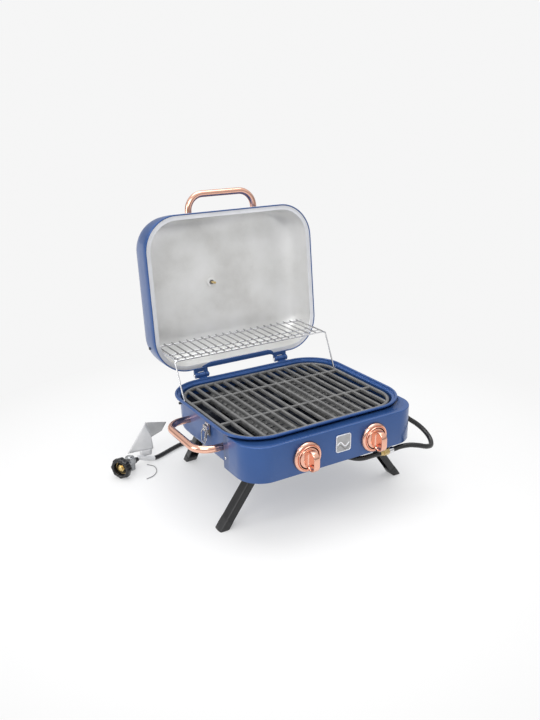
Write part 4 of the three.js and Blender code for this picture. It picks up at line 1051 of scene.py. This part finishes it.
# --------------------------------------------------------------------------- the studio
def studio():
    scene = bpy.context.scene
    world = bpy.data.worlds.new("studio")
    scene.world = world
    world.use_nodes = True
    tree = world.node_tree
    background = tree.nodes["Background"]
    background.inputs["Strength"].default_value = 1.0
    coords = tree.nodes.new("ShaderNodeTexCoord")
    split = tree.nodes.new("ShaderNodeSeparateXYZ")
    ramp = tree.nodes.new("ShaderNodeValToRGB")
    tree.links.new(coords.outputs["Generated"], split.inputs["Vector"])
    tree.links.new(split.outputs["Z"], ramp.inputs["Fac"])
    tree.links.new(ramp.outputs["Color"], background.inputs["Color"])
    stops = ramp.color_ramp.elements
    stops.new(0.16)
    stops.new(0.45)
    for stop, position, level in zip(stops, (0.0, 0.16, 0.45, 1.0), (0.50, 0.34, 0.80, 1.0)):
        stop.position = position
        stop.color = (level, level, level, 1)
    seen = tree.nodes.new("ShaderNodeLightPath")
    backdrop = tree.nodes.new("ShaderNodeBackground")
    backdrop.inputs["Color"].default_value = (*PALE, 1)
    mix = tree.nodes.new("ShaderNodeMixShader")
    tree.links.new(seen.outputs["Is Camera Ray"], mix.inputs["Fac"])
    tree.links.new(background.outputs["Background"], mix.inputs[1])
    tree.links.new(backdrop.outputs["Background"], mix.inputs[2])
    tree.links.new(mix.outputs["Shader"], tree.nodes["World Output"].inputs["Surface"])

    floor = bpy.data.meshes.new("floor")
    z, far = (FLOOR_Z - 0.2) * MM, 30.0
    floor.from_pydata([(-far, -far, z), (far, -far, z), (far, far, z), (-far, far, z)], [], [[0, 1, 2, 3]])
    pale = Nodes("pale_floor")
    pale.link(pale.ramp(pale.noise(2.0), [(0.3, (0.80, 0.80, 0.80)), (0.7, (0.82, 0.82, 0.82))]),
              pale.bsdf.inputs["Base Color"])
    pale.set(Roughness=0.7, Specular_IOR_Level=0.2)
    glow = pale.add("ShaderNodeEmission", Color=(*PALE, 1))
    distance = pale.add("ShaderNodeVectorMath", operation="LENGTH")
    pale.link(pale.coords, distance.inputs[0])
    fade = pale.span(distance.outputs["Value"], 0.38, 1.0, 0.35, 1.0)
    blend = pale.add("ShaderNodeMixShader")
    pale.link(fade, blend.inputs["Fac"])
    pale.link(pale.bsdf.outputs["BSDF"], blend.inputs[1])
    pale.link(glow.outputs["Emission"], blend.inputs[2])
    pale.link(blend.outputs["Shader"], pale.tree.nodes["Material Output"].inputs["Surface"])
    floor.materials.append(pale.material)
    ground = bpy.data.objects.new("floor", floor)
    scene.collection.objects.link(ground)

    def area(name, place, target, size, power, colour=(1, 1, 1)):
        light = bpy.data.lights.new(name, "AREA")
        light.shape, light.size, light.size_y = "RECTANGLE", size[0], size[1]
        light.energy, light.color = power, colour
        obj = bpy.data.objects.new(name, light)
        obj.location = place
        obj.rotation_euler = (Vector(target) - Vector(place)).to_track_quat("-Z", "Y").to_euler()
        scene.collection.objects.link(obj)

    area("key", (-1.6, -1.5, 2.2), (0, 0, 0.1), (1.6, 1.2), 34)
    area("top", (0.3, 0.4, 2.6), (0, 0.1, 0), (2.2, 1.6), 30)
    area("left", (-2.4, 0.3, 0.9), (0, 0, 0.1), (1.0, 1.4), 16)

    camera = bpy.data.cameras.new("camera")
    camera.lens, camera.sensor_width = 38.59, 36.0
    camera.clip_start, camera.clip_end = 0.05, 100
    eye = bpy.data.objects.new("camera", camera)
    place, target = Vector((-0.8845, -1.3864, 0.7542)), Vector((-0.0404, 0.0, 0.1743))
    eye.location = place
    look = (target - place).to_track_quat("-Z", "Y")
    eye.rotation_mode = "QUATERNION"
    eye.rotation_quaternion = look @ Matrix.Rotation(math.radians(-0.5), 3, "Z").to_quaternion()
    scene.collection.objects.link(eye)
    scene.camera = eye
    scene.view_settings.view_transform = "Standard"


studio()
